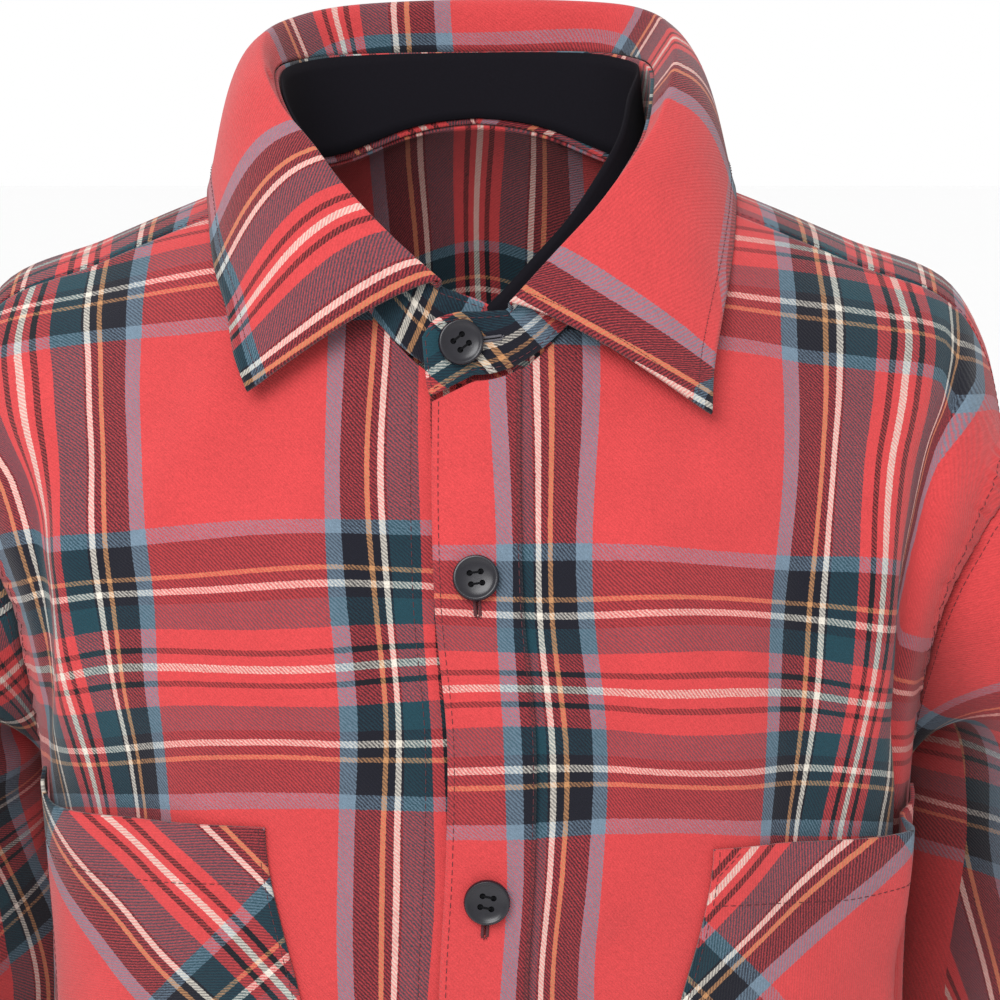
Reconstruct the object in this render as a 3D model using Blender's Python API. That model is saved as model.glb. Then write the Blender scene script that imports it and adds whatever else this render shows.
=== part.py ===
"""A tartan flannel shirt, worn and buttoned to the neck.

The origin is the middle of the neck opening, level with the sides of the neck. The front faces -Y,
+Z is up and +X is the wearer's left. Each cloth piece is a wall laid on one of two smooth forms, the
body or a sleeve, and thickened inwards. A place on the body is (run, climb): run is the distance along
the cloth from the centre line, and climb is the square root of the drop below the shoulder line,
positive in front and negative behind.
"""

import math

import bmesh
import bpy
import numpy as np
from mathutils import Vector

WALL = 0.0014  # thickness of the flannel
GAP = 0.0003  # between pieces that touch
NUDGE = 0.0006  # the step that normals are measured over
LAYER = WALL + GAP  # one ply on top of another

NECK_HALF = 0.071  # half the width of the neckline at the shoulders
NECK_DROP_FRONT = 0.080  # depth of the neckline below the shoulder line at the centre front
NECK_DROP_BACK = 0.017
YOKE_FORWARD = 0.0085  # how far the yoke comes over to the front
YOKE_BACK = 0.115  # depth of the yoke at the centre back
YOKE_BACK_SIDE = 0.070  # and at the armholes
UNDERARM = 0.240  # depth of the armhole below the shoulder line
HEM_CENTRE = 0.700  # depth of the hem at the centre front and back
HEM_SIDE = 0.645  # and at the side seams, where the shirt tail curves up
LEVEL_BELOW = 0.21  # drop below which the cloth no longer follows the slope of the shoulders
NAPE_RISE = 0.028  # how far the cloth climbs to the neck behind
OVERLAP = 0.0150  # how far each front passes the centre line
COLLAR_END = 0.0118  # from the centre line to the front ends of the turned-down collar
BAND_INNER = 0.0165  # from the centre line to the inner seam of the button band
STAND_END = 0.075  # share of the stand's length that each end takes, from the collar's front end
LINING_WALL = 0.0009
LINING_ROOM = 0.0004
LINING_FROM, LINING_TO = 0.10, 0.97  # how far up the stand its lining starts and ends
NECK_SLANT = 0.45  # slope of the neckline where it passes the centre line

# run along the shoulder line, and where that point is: out from the centre and up from the origin
SHOULDER_LINE = {
    "run": (0.000, 0.070, 0.106, 0.150, 0.1935, 0.216, 0.246, 0.262, 0.285),
    "out": (0.000, 0.070, 0.103, 0.1440, 0.185, 0.1965, 0.2040, 0.208, 0.213),
    "up": (0.004, 0.000, -0.012, -0.0290, -0.047, -0.066, -0.095, -0.111, -0.134),
}

# level sections of the worn body, by drop below the shoulder line
BODY_SECTIONS = {
    "drop": (0.0, 0.005, 0.02, 0.05, 0.075, 0.11, 0.15, 0.19, 0.23, 0.28, 0.35, 0.45, 0.57, 0.72),
    "half_width": (
        *(0.236, 0.236, 0.235, 0.230, 0.223, 0.209, 0.1875),
        *(0.1735, 0.1700, 0.1695, 0.170, 0.1715, 0.178, 0.190),
    ),
    "front_depth": (
        *(0.0, 0.027, 0.051, 0.073, 0.086, 0.101, 0.113),
        *(0.120, 0.123, 0.124, 0.123, 0.120, 0.122, 0.130),
    ),
    "back_depth": (
        *(0.0, 0.027, 0.053, 0.080, 0.094, 0.108, 0.118),
        *(0.122, 0.121, 0.116, 0.109, 0.104, 0.109, 0.121),
    ),
    "squareness": (2.2, 2.2, 2.3, 2.6, 2.8, 3.0, 3.1, 3.0, 2.8, 2.65, 2.55, 2.5, 2.45, 2.4),
}
# how far the closed front swings to the wearer's left, by drop
FRONT_SWAY = {
    "drop": (0.06, 0.13, 0.155, 0.20, 0.245, 0.29, 0.36, 0.45, 0.55, 0.70),
    "left": (0.0, 0.0, 0.0010, 0.0055, 0.0050, 0.0025, 0.0030, -0.001, 0.002, 0.0),
}
SWAY_WIDE = 0.07

# columns of the fronts: runs along the neckline, then shares of the way from its corner to the armhole.
# The yoke and the back use the same shares. Rows are where the pieces' outer edges have their corners.
NECK_RUNS = (-OVERLAP, -0.005, 0.005, COLLAR_END, BAND_INNER, 0.0265, 0.038, 0.049, 0.059)
BAND_COLUMNS = 4
SHOULDER_SHARES = tuple(1 - (1 - i / 10) ** 1.25 for i in range(11))
NAPE_COLUMNS = 6
NAPE_SHARE = 0.40  # share of the yoke's half-width at the end of the back neckline
TURN_SHARE = 0.45  # and at its corner with the fronts
FRONT_ROWS = (
    *(YOKE_FORWARD, 0.026, 0.050, 0.075, 0.100, 0.125, 0.150, 0.175, 0.198, 0.220),
    *(UNDERARM, 0.268, 0.300, 0.336, 0.376, 0.420, 0.468, 0.520, 0.565, 0.607, HEM_SIDE),
)
BACK_ROWS = (
    *(YOKE_BACK_SIDE, 0.095, 0.120, 0.145, 0.170, 0.195, 0.218, UNDERARM),
    *(0.270, 0.305, 0.345, 0.390, 0.440, 0.492, 0.545, 0.595, HEM_SIDE),
)
YOKE_ROWS = 8
LEVEL_ROW = 7  # from this row down, a row is at one drop all along

# the armhole seam, by drop: how far along the cloth from the centre line it lies, in front and behind
ARMHOLE = {
    "drop": (0.0, 0.01, 0.03, 0.06, 0.09, 0.12, 0.15, 0.18, 0.205, 0.225),
    "front": (0.250, 0.247, 0.238, 0.221, 0.212, 0.203, 0.196, 0.203, 0.217, 0.231),
    "back": (0.250, 0.248, 0.243, 0.233, 0.226, 0.220, 0.216, 0.218, 0.226, 0.235),
}

# one side of the turned-down collar, from its front end to the centre back, in the shirt's frame, with
# out measured away from the centre line: the seam on the stand, the fold's crest and the outer edge
COLLAR_RIGHT = {
    "stand_deg": (9.6, 24.0, 40.0, 55.0, 70.0, 84.0, 100.0, 126.0, 150.0, 180.0),
    "seam_out": (0.0118, 0.029, 0.046, 0.0580, 0.0690, 0.0760, 0.0775, 0.068, 0.046, 0.000),
    "seam_y": (-0.0845, -0.078, -0.067, -0.0545, -0.0385, -0.0180, 0.010, 0.036, 0.052, 0.059),
    "seam_up": (-0.0425, -0.0275, -0.0110, 0.0040, 0.0160, 0.0280, 0.037, 0.041, 0.043, 0.044),
    "crest_out": (0.0120, 0.030, 0.0475, 0.0600, 0.0720, 0.0805, 0.0835, 0.0745, 0.050, 0.000),
    "crest_y": (-0.0875, -0.081, -0.070, -0.0580, -0.0410, -0.0190, 0.012, 0.041, 0.059, 0.067),
    "crest_up": (-0.0400, -0.0245, -0.0070, 0.0085, 0.0215, 0.0355, 0.0485, 0.0570, 0.063, 0.0655),
    "edge_out": (0.0816, 0.0868, 0.0905, 0.0965, 0.1005, 0.1030, 0.0990, 0.084, 0.053, 0.000),
    "edge_y": (-0.0975, -0.0895, -0.0760, -0.0590, -0.0370, -0.0110, 0.024, 0.057, 0.080, 0.088),
    "edge_up": (-0.0785, -0.0660, -0.0510, -0.0365, -0.0200, -0.0075, -0.003, 0.000, 0.003, 0.005),
}
COLLAR_LEFT = {
    "stand_deg": (9.6, 24.0, 40.0, 55.0, 70.0, 84.0, 100.0, 126.0, 150.0, 180.0),
    "seam_out": (0.0118, 0.027, 0.042, 0.0540, 0.0630, 0.0670, 0.0680, 0.060, 0.042, 0.000),
    "seam_y": (-0.0882, -0.082, -0.071, -0.0570, -0.0410, -0.0200, 0.010, 0.036, 0.053, 0.059),
    "seam_up": (-0.0500, -0.0345, -0.0190, -0.0030, 0.0110, 0.0250, 0.037, 0.042, 0.044, 0.044),
    "crest_out": (0.0120, 0.028, 0.0440, 0.0570, 0.0680, 0.0745, 0.0765, 0.070, 0.050, 0.000),
    "crest_y": (-0.0912, -0.085, -0.074, -0.0610, -0.0440, -0.0210, 0.012, 0.041, 0.059, 0.067),
    "crest_up": (-0.0480, -0.0310, -0.0145, 0.0020, 0.0175, 0.0340, 0.0490, 0.0590, 0.064, 0.0655),
    "edge_out": (0.0848, 0.0860, 0.0900, 0.0940, 0.0975, 0.0990, 0.0960, 0.082, 0.053, 0.000),
    "edge_y": (-0.0985, -0.0905, -0.0770, -0.0600, -0.0390, -0.0130, 0.024, 0.057, 0.080, 0.088),
    "edge_up": (-0.0866, -0.0710, -0.0530, -0.0380, -0.0207, -0.0075, -0.003, 0.000, 0.003, 0.005),
}
# the stand's ends, from the collar's front end to past the centre line, and their top edges
STAND_ENDS = {
    "past": (0.0, 0.25, 0.62, 0.85, 1.0),
    "left_out": (0.0118, 0.0030, -0.0085, -0.0155, -0.0189),
    "left_up": (-0.0506, -0.0511, -0.0518, -0.0548, -0.0601),
    "right_out": (0.0118, 0.0030, -0.0065, -0.0118, -0.0140),
    "right_up": (-0.0428, -0.0457, -0.0500, -0.0545, -0.0600),
}
STAND_FOOT_END = {"left": 0.0154, "right": 0.0130}  # how far the feet of the two ends pass the centre line
STAND_BULGE = 0.45  # how round the ends are
FALL_CREST = 0.26
LEAF_CROWN = 0.0045  # how far the leaf rounds out between crest and edge
FOLD_HALF = 0.0034  # half the width of the fold at its crest

# rings of a sleeve hanging at the wearer's side: middle, half-widths across and front to back, and lean
SLEEVE_RINGS = {
    "out": (0.2120, 0.2220, 0.2240, 0.2290, 0.237, 0.246, 0.254),
    "y": (0.000, 0.000, 0.001, 0.001, -0.007, -0.018, -0.028),
    "up": (-0.1860, -0.2520, -0.330, -0.415, -0.495, -0.567, -0.628),
    "across": (0.0430, 0.0375, 0.0465, 0.0450, 0.0430, 0.0400, 0.0350),
    "through": (0.0775, 0.0790, 0.0740, 0.0670, 0.0600, 0.0530, 0.0400),
    "lean_deg": (50.0, 20.0, 6.0, 0.0, -6.0, -8.0, -9.0),
    "yaw_deg": (12.0, 17.0, 17.0, 14.0, 8.0, 4.0, 0.0),
}
SLEEVE_STATIONS = (0.0, 0.12, 0.25, 0.405, 0.574, 0.733, 0.877, 1.0)  # of the armhole and each ring
SLEEVE_REACH = (0.40, 0.52)  # a sleeve's rough distance round and length, which its folds are measured by
SLEEVE_START, SLEEVE_END = 0.0012, 0.9994  # shares of its length, which leave a seam's gap at both ends
CUFF_LONG = 0.066
CUFF_LAP = 0.09  # share of the way round the wrist that the cuff's ends overlap
CUFF_OPENS = 0.80  # where the cuff and the slit above it open, behind and outside
SLIT_FROM = 0.72  # how far down the sleeve its slit starts
SLIT_HALF = 0.035  # half the width of the strip over the slit, as a share of the way round

BUTTON_ACROSS = 0.0165
BUTTON_THICK = 0.0032
BUTTON_STEPS = 16
BUTTON_ON_STAND = (0.9665, 0.55)  # places along and up the stand
BUTTON_HEIGHTS = (-0.1435, -0.2575, -0.3715, -0.4855, -0.599)  # of the middles of those on the band
BUTTON_LIFT = 0.0006
LAP_ROOM = 0.0003  # more room between the fronts
NECK_ROOM = 0.0005  # and between their top ends
FOOT_GAP = 0.0023  # between the neckline and the stand
YOKE_GAP = 0.0016  # between the yoke and the back
UNDERLAP_IN = 0.0021  # how far back the stand's end underneath is drawn

POCKET_TOP = {"left": 0.2415, "right": 0.2330}
POCKET_LONG = 0.140
POCKET_INNER = {"left": 0.0845, "right": 0.0765}  # the inner edge's run at the top
POCKET_WIDE = 0.108
POCKET_SPREAD = 0.016  # how far the inner edge runs towards the centre by the bottom
POCKET_GAPE = 0.0034  # how far the mouth stands off the front near its outer end
POCKET_POINT = 0.018
POCKET_CORNER = 0.001  # how far the mouth's outer corner is drawn up
POCKET_EASE = 0.0006  # more room where the front turns to the side

# large soft folds on the body: where each starts and ends, its width and how far it stands out
FRONT_FOLDS = {
    "run_a": (0.205, 0.150, 0.060, 0.185, 0.105, 0.215, 0.040),
    "drop_a": (0.070, 0.260, 0.330, 0.360, 0.430, 0.240, 0.520),
    "run_b": (0.212, 0.175, 0.085, 0.215, 0.130, 0.205, 0.045),
    "drop_b": (0.190, 0.560, 0.720, 0.720, 0.740, 0.520, 0.740),
    "wide": (0.016, 0.030, 0.026, 0.024, 0.028, 0.018, 0.022),
    "deep": (-0.004, 0.004, 0.006, 0.008, -0.005, -0.006, -0.004),
}
BACK_FOLDS = {
    "run_a": (0.110, 0.150, 0.182, 0.060, 0.020, 0.125, 0.178),
    "drop_a": (0.150, 0.180, 0.200, 0.260, 0.300, 0.330, 0.400),
    "run_b": (0.095, 0.160, 0.195, 0.070, 0.015, 0.135, 0.190),
    "drop_b": (0.740, 0.740, 0.560, 0.740, 0.740, 0.740, 0.740),
    "wide": (0.024, 0.022, 0.018, 0.024, 0.026, 0.016, 0.016),
    "deep": (0.010, 0.008, 0.008, -0.007, 0.008, -0.006, -0.005),
}
# folds round a sleeve: place round it (0 top, 0.25 front, 0.5 inside) and along it, width and depth
SLEEVE_FOLDS = {
    "round_a": (0.10, 0.20, 0.05, 0.30, 0.62, 0.55, 0.15, 0.72, 0.90),
    "along_a": (0.12, 0.16, 0.42, 0.50, 0.40, 0.56, 0.74, 0.20, 0.62),
    "round_b": (0.34, 0.42, 0.30, 0.48, 0.88, 0.80, 0.42, 0.66, 1.05),
    "along_b": (0.30, 0.42, 0.54, 0.56, 0.52, 0.66, 0.84, 0.52, 0.78),
    "wide": (0.030, 0.034, 0.030, 0.024, 0.030, 0.026, 0.024, 0.034, 0.028),
    "deep": (0.006, -0.005, -0.006, 0.006, -0.007, 0.006, 0.004, 0.006, -0.005),
}

RED = (0.78, 0.08, 0.09, 1.0)
BLACK = (0.02, 0.02, 0.025, 1.0)
CHARCOAL = (0.05, 0.05, 0.06, 1.0)


def read_smooth(table, key, column, at):
    """A table's column, read smoothly between its rows at the places named by its key column."""
    knots = np.array(table[key], float)
    return smooth_through(knots, np.array(table[column], float), at)


def smooth_through(knots, values, at):
    """A curve through values at knots, with no kinks. Values may have further axes."""
    at = np.clip(np.asarray(at, float), knots[0], knots[-1])
    slopes = np.gradient(values, knots, axis=0)
    k = np.clip(np.searchsorted(knots, at, side="right") - 1, 0, len(knots) - 2)
    step = knots[k + 1] - knots[k]
    t = (at - knots[k]) / step
    if values.ndim > 1:
        step, t = step[..., None], t[..., None]
    ease_in, ease_out = t * t * (3 - 2 * t), t * t * (t - 1)
    start = values[k] * (1 - ease_in) + values[k + 1] * ease_in
    return start + step * (slopes[k] * t * (1 - t) ** 2 + slopes[k + 1] * ease_out)


def fade(x):
    """0 below 0, 1 above 1, smooth between."""
    x = np.clip(x, 0, 1)
    return x * x * (3 - 2 * x)


def section_point(distance, half_width, depth, squareness):
    """The point at a distance along a quarter of a superellipse, from its middle front to its side."""
    angle = np.linspace(0, math.pi / 2, 49)
    power = 2 / squareness[:, None]
    x = half_width[:, None] * np.sin(angle) ** power
    y = depth[:, None] * np.cos(angle) ** power
    steps = np.hypot(np.diff(x, axis=1), np.diff(y, axis=1))
    length = np.concatenate([np.zeros((len(x), 1)), np.cumsum(steps, axis=1)], axis=1)
    distance = np.clip(distance, 0, length[:, -1] - 1e-7)
    k = (length <= distance[:, None]).sum(axis=1) - 1
    row = np.arange(len(x))
    t = (distance - length[row, k]) / np.maximum(steps[row, k], 1e-9)
    return (
        x[row, k] + t * (x[row, k + 1] - x[row, k]),
        y[row, k] + t * (y[row, k + 1] - y[row, k]),
        length[:, -1],
    )


def section(column, climb):
    """A column of the body's sections, read by the root of the drop, which is smooth at the top."""
    roots = np.sqrt(BODY_SECTIONS["drop"])
    return smooth_through(roots, np.array(BODY_SECTIONS[column]), np.abs(climb))


def body_form(run, climb):
    """A point on the smooth worn body. Climb is positive in front and negative behind."""
    out, drop, ahead = np.abs(run), climb**2, climb > 0
    depth = np.where(ahead, section("front_depth", climb), section("back_depth", climb))
    sloping = 1 - fade(drop / LEVEL_BELOW)
    line_out = read_smooth(SHOULDER_LINE, "run", "out", out)
    line_up = read_smooth(SHOULDER_LINE, "run", "up", out)
    level_run = out * (1 - sloping) + line_out * sloping
    x, y, _ = section_point(level_run, section("half_width", climb), depth, section("squareness", climb))
    nape = fade(drop / NECK_DROP_BACK) * (1 - fade((drop - 0.03) / 0.12))
    nape = nape * NAPE_RISE * np.exp(-((out / 0.06) ** 2))
    sway = read_smooth(FRONT_SWAY, "drop", "left", drop) * np.exp(-((run / SWAY_WIDE) ** 2))
    up = line_up * sloping - drop + np.where(ahead, 0, nape)
    return np.stack([np.sign(run) * x + np.where(ahead, sway, 0), np.where(ahead, -y, y), up], axis=-1)


def side_run(drop, where):
    """How far along the cloth from the centre line the side of the body is, in front or behind."""
    climb = np.sqrt(np.atleast_1d(np.asarray(drop, float)))
    columns = [section(c, climb) for c in ("half_width", where + "_depth", "squareness")]
    return section_point(np.full(len(climb), 1.0), *columns)[2]


def ridges(folds, along, down, reach=(1.0, 1.0)):
    """How far the folds of a table stand out at a place. Each dies away at its ends."""
    out = np.zeros_like(along)
    names = [name for name in folds if name[-2:] == "_a"]
    columns = names + [name[:-1] + "b" for name in names] + ["wide", "deep"]
    for a_0, a_1, b_0, b_1, wide, deep in zip(*(folds[column] for column in columns)):
        span = np.array([b_0 - a_0, b_1 - a_1]) * reach
        x, y = (along - a_0) * reach[0], (down - a_1) * reach[1]
        t = (x * span[0] + y * span[1]) / span.dot(span)
        aside = np.hypot(x - t * span[0], y - t * span[1])
        ends = fade(t / 0.3) * fade((1 - t) / 0.3)
        out += deep * ends * np.exp(-((aside / wide) ** 2))
    return out


def body_folds(run, climb):
    """The depth of the body's folds, none at the seams that other pieces meet."""
    drop = climb**2
    right = np.where(run < 0, 0.012, 0.0)
    front = ridges(FRONT_FOLDS, np.abs(run) + right, drop)
    back = ridges(BACK_FOLDS, np.abs(run) + 1.5 * right, drop)
    side = np.where(climb > 0, side_run(drop, "front"), side_run(drop, "back"))
    calm = fade((side - np.abs(run)) / 0.02) * fade(np.abs(run) / 0.03 + (climb <= 0))
    return np.where(climb > 0, front, back) * calm


def lifted(form, a, b, lift):
    """Points of a form of two places, lifted along its normal, which is b's direction crossed with a's."""
    along = form(a + NUDGE, b) - form(a - NUDGE, b)
    across = form(a, b + NUDGE) - form(a, b - NUDGE)
    normal = np.cross(across, along)
    normal /= np.maximum(np.linalg.norm(normal, axis=1), 1e-12)[:, None]
    return form(a, b) + normal * np.reshape(lift, (-1, 1))


def on_body(run, climb, lift=0.0):
    """Points on the worn body, lifted off it along its normal."""
    given = [np.atleast_1d(v).astype(float) for v in (run, climb, lift)]
    run, climb, lift = np.broadcast_arrays(*given)
    return lifted(body_form, run, climb, lift + body_folds(run, climb))


def neckline_drop(run, drop):
    """The neckline's depth below the shoulder line at a run. Past the centre line it goes on straight."""
    curved = drop * (1 - (np.maximum(run, 0) / NECK_HALF) ** 2)
    return curved - np.minimum(run, 0) * NECK_SLANT


def hem_drop(share):
    """The shirt tail: how deep the hem is at a share of the way from the centre line to the side."""
    return HEM_SIDE + (HEM_CENTRE - HEM_SIDE) * np.cos(np.clip(share, 0, 1) * math.pi / 2) ** 1.5


def edge_run(drop, where):
    """The run of a front's or back's outer edge: the armhole seam above the underarm, the side below it."""
    drop = np.atleast_1d(np.asarray(drop, float))
    knots = np.array(ARMHOLE["drop"] + (UNDERARM,))
    values = np.array(ARMHOLE[where] + (side_run(UNDERARM, where)[0],))
    return np.where(drop < UNDERARM, smooth_through(knots, values, drop), side_run(drop, where))


def finish(mesh, name, colour, roughness=0.85):
    """A named object from a bmesh, shaded smooth, with its own material."""
    data = bpy.data.meshes.new(name)
    mesh.to_mesh(data)
    mesh.free()
    data.shade_smooth()
    piece = bpy.data.objects.new(name, data)
    bpy.context.scene.collection.objects.link(piece)
    material = bpy.data.materials.new(name)
    material.use_nodes = True
    shader = material.node_tree.nodes["Principled BSDF"]
    shader.inputs["Base Color"].default_value = colour
    shader.inputs["Roughness"].default_value = roughness
    data.materials.append(material)
    return piece


def cloth(name, columns, rows, place, wall=WALL, colour=RED, turned=False, tube=False):
    """A cloth wall: a grid laid out by place(across, down), both 0 to 1, and thickened behind its face.
    A tube's first and last columns are one."""
    mesh = bmesh.new()
    bmesh.ops.create_grid(mesh, x_segments=columns, y_segments=rows, size=0.5)
    across = np.array([v.co.x + 0.5 for v in mesh.verts])
    down = np.array([0.5 - v.co.y for v in mesh.verts])
    for vertex, point in zip(mesh.verts, place(across, down)):
        vertex.co = point
    if turned:
        bmesh.ops.reverse_faces(mesh, faces=mesh.faces)
    if tube:
        bmesh.ops.remove_doubles(mesh, verts=mesh.verts, dist=1e-5)
    piece = finish(mesh, name, colour)
    thicken = piece.modifiers.new("Wall", "SOLIDIFY")
    thicken.thickness = wall
    thicken.offset = -1
    return piece


def at_stations(stations, share):
    """The value at a share of the way through a list of stations, evenly spaced on a grid."""
    return np.interp(share * (len(stations) - 1), range(len(stations)), stations)


def lap_lift(run, drop, plies):
    """How far the fronts stand off the body where they lie on each other, a little more at the neck."""
    room = LAP_ROOM + NECK_ROOM * (1 - fade((drop - 0.13) / 0.07))
    return plies * (LAYER + room) * (1 - fade((run - OVERLAP - 0.004) / 0.03))


def row_drop(rows, down, top, bottom):
    """The drop at a share of the way down through the rows, which start at top and end at bottom."""
    drop, level = at_stations(rows, down), rows[LEVEL_ROW]
    upper = top + (level - top) * (drop - rows[0]) / (level - rows[0])
    lower = drop + (bottom - rows[-1]) * (np.maximum(drop - level, 0) / (rows[-1] - level)) ** 2
    return np.where(drop < level, upper, lower)


def front_place(across, down):
    """A place on a front: run from its edge past the centre line to the armhole or side, and drop."""
    corner = NECK_HALF * math.sqrt(1 - YOKE_FORWARD / NECK_DROP_FRONT)
    tip = edge_run(YOKE_FORWARD, "front")[0] - GAP / 2
    starts = NECK_RUNS + tuple(corner + (tip - corner) * share for share in SHOULDER_SHARES)
    start = at_stations(starts, across)
    top = np.maximum(neckline_drop(start, NECK_DROP_FRONT), YOKE_FORWARD) + GAP / 2
    share = np.clip((start - BAND_INNER) / (tip - BAND_INNER), 0, 1)
    drop = row_drop(FRONT_ROWS, down, top, hem_drop(np.abs(start) / tip))
    return start + share * (edge_run(drop, "front") - GAP / 2 - tip), drop


def front(name, hand):
    """One front. Hand is 1 for the wearer's left, which laps over the other."""
    columns = len(NECK_RUNS) + len(SHOULDER_SHARES) - 1

    def place(across, down):
        run, drop = front_place(across, down)
        return on_body(hand * run, np.sqrt(drop), lap_lift(run, drop, max(hand, 0)))

    return cloth(name, columns, len(FRONT_ROWS) - 1, place, turned=hand < 0)


def half_shares():
    """Shares of the half-width at the back's and the yoke's columns, from the centre back out."""
    nape = [NAPE_SHARE * i / NAPE_COLUMNS for i in range(NAPE_COLUMNS + 1)]
    return nape + [TURN_SHARE + (1 - TURN_SHARE) * share for share in SHOULDER_SHARES]


def full_shares():
    half = half_shares()
    return [-share for share in reversed(half[1:])] + half


def yoke_seam_drop(share):
    return YOKE_BACK_SIDE + (YOKE_BACK - YOKE_BACK_SIDE) * (1 - share**2)


def back():
    """The back, between the yoke, the armholes and the sides."""
    shares = full_shares()

    def place(across, down):
        share = at_stations(shares, across)
        top = yoke_seam_drop(share) + YOKE_GAP / 2
        drop = row_drop(BACK_ROWS, down, top, hem_drop(np.abs(share)))
        return on_body(share * (edge_run(drop, "back") - GAP / 2), -np.sqrt(drop))

    return cloth("back", len(shares) - 1, len(BACK_ROWS) - 1, place, turned=True)


def yoke():
    """The yoke: across the back and over both shoulders, round the neckline."""
    shares = full_shares()
    corner = NECK_HALF * math.sqrt(1 - YOKE_FORWARD / NECK_DROP_FRONT)
    tip = edge_run(YOKE_FORWARD, "front")[0] - GAP / 2
    front_climb = math.sqrt(YOKE_FORWARD - GAP / 2)

    def place(across, down):
        share = at_stations(shares, across)
        hand, far = np.sign(share), np.abs(share)
        angle = np.clip(far / NAPE_SHARE, 0, 1) * math.pi / 2
        beside = np.clip((far - NAPE_SHARE) / (TURN_SHARE - NAPE_SHARE), 0, 1)
        ahead = np.clip((far - TURN_SHARE) / (1 - TURN_SHARE), 0, 1)
        top_run = NECK_HALF * np.sin(angle) + (corner - NECK_HALF) * beside + (tip - corner) * ahead
        top_climb = -math.sqrt(NECK_DROP_BACK) * np.cos(angle) + front_climb * beside
        bottom_climb = -np.sqrt(yoke_seam_drop(far) - YOKE_GAP / 2)
        bottom_run = far * (edge_run(bottom_climb**2, "back") - GAP / 2)
        climb = top_climb + (bottom_climb - top_climb) * down
        run = top_run + (bottom_run - top_run) * down
        side_climb = front_climb - (front_climb + math.sqrt(YOKE_BACK_SIDE - YOKE_GAP / 2)) * down
        side_drop = side_climb**2
        edge = np.where(side_climb > 0, edge_run(side_drop, "front"), edge_run(side_drop, "back")) - GAP / 2
        straight = tip + (edge_run(YOKE_BACK_SIDE, "back")[0] - GAP / 2 - tip) * down
        return on_body(hand * (run + (edge - straight) * ahead**3), climb)

    return cloth("yoke", len(shares) - 1, YOKE_ROWS, place, turned=True)


def button_band():
    """The strip that carries the buttonholes, made from the points of the wearer's left front."""
    columns = len(NECK_RUNS) + len(SHOULDER_SHARES) - 1

    def place(across, down):
        run, drop = front_place(across * BAND_COLUMNS / columns, down)
        return on_body(run, np.sqrt(drop), lap_lift(run, drop, 1) + LAYER)

    return cloth("button_band", BAND_COLUMNS, len(FRONT_ROWS) - 1, place)


def collar_line(column, share):
    """A collar column read along its length: 0 at the right leaf's front end, 1 at the left's."""
    sign = -1 if column.endswith("_out") else 1
    values = [sign * v for v in COLLAR_RIGHT[column]] + list(reversed(COLLAR_LEFT[column]))[1:]
    return smooth_through(np.linspace(0, 1, len(values)), np.array(values), share)


def collar_place(part, share):
    return np.stack([collar_line(part + axis, share) for axis in ("_out", "_y", "_up")], axis=-1)


def fall_form(across, down):
    """The turned-down collar: down is 0 at the stand's seam, FALL_CREST at the fold and 1 at its edge."""
    seam, crest, edge = (collar_place(part, across) for part in ("seam", "crest", "edge"))
    outward = (edge - crest) * np.array([1, 1, 0])
    outward /= np.linalg.norm(outward, axis=1)[:, None]
    ends = fade(np.minimum(across, 1 - across) / 0.12)[:, None]
    half = FOLD_HALF * (0.35 + 0.65 * ends)
    below = np.array([0, 0, 1.0]) * half
    tall = crest[:, 2:] - seam[:, 2:] > 2.4 * half
    inside = np.where(tall, crest - outward * half - below, seam + (crest - seam) * 0.6)
    outside = crest + outward * half * 1.1 - below * 0.8
    knots = np.array([0.0, FALL_CREST - 0.1, FALL_CREST, FALL_CREST + 0.1, 1.0])
    through = np.stack([seam + np.array([0, 0, GAP]), inside, crest, outside, edge], axis=0)
    point = np.array([smooth_through(knots, through[:, i], t) for i, t in enumerate(down)])
    crown = LEAF_CROWN * np.sin(math.pi * np.clip((down - FALL_CREST) / (1 - FALL_CREST), 0, 1)) ** 1.2
    return point + (outward * 0.75 + np.array([0, 0, 0.66])) * crown[:, None]


def fall():
    return cloth("collar_fall", 36, 10, fall_form, turned=True)


def neckline_point(angle, hand, lift):
    """The neckline seam at an angle round the neck from the centre front, which it may pass a little."""
    run = NECK_HALF * np.sin(angle)
    ahead = np.sqrt(neckline_drop(run, NECK_DROP_FRONT))
    behind = math.sqrt(NECK_DROP_BACK) * np.cos(angle)
    return on_body(hand * run, np.where(np.cos(angle) > 0, ahead, behind), lift)


def stand_end(across):
    """How far past the collar's end a place along the stand is, its share of the collar, and its angle."""
    lap = np.where(across < 0.5, STAND_FOOT_END["right"], STAND_FOOT_END["left"])
    past = np.clip(1 - np.minimum(across, 1 - across) / STAND_END, 0, 1)
    share = np.clip((across - STAND_END) / (1 - 2 * STAND_END), 0, 1)
    first = math.radians(COLLAR_RIGHT["stand_deg"][0])
    angle = np.radians(collar_line("stand_deg", share))
    return past, share, np.where(past > 0, first + (np.arcsin(-lap / NECK_HALF) - first) * past, angle)


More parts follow.
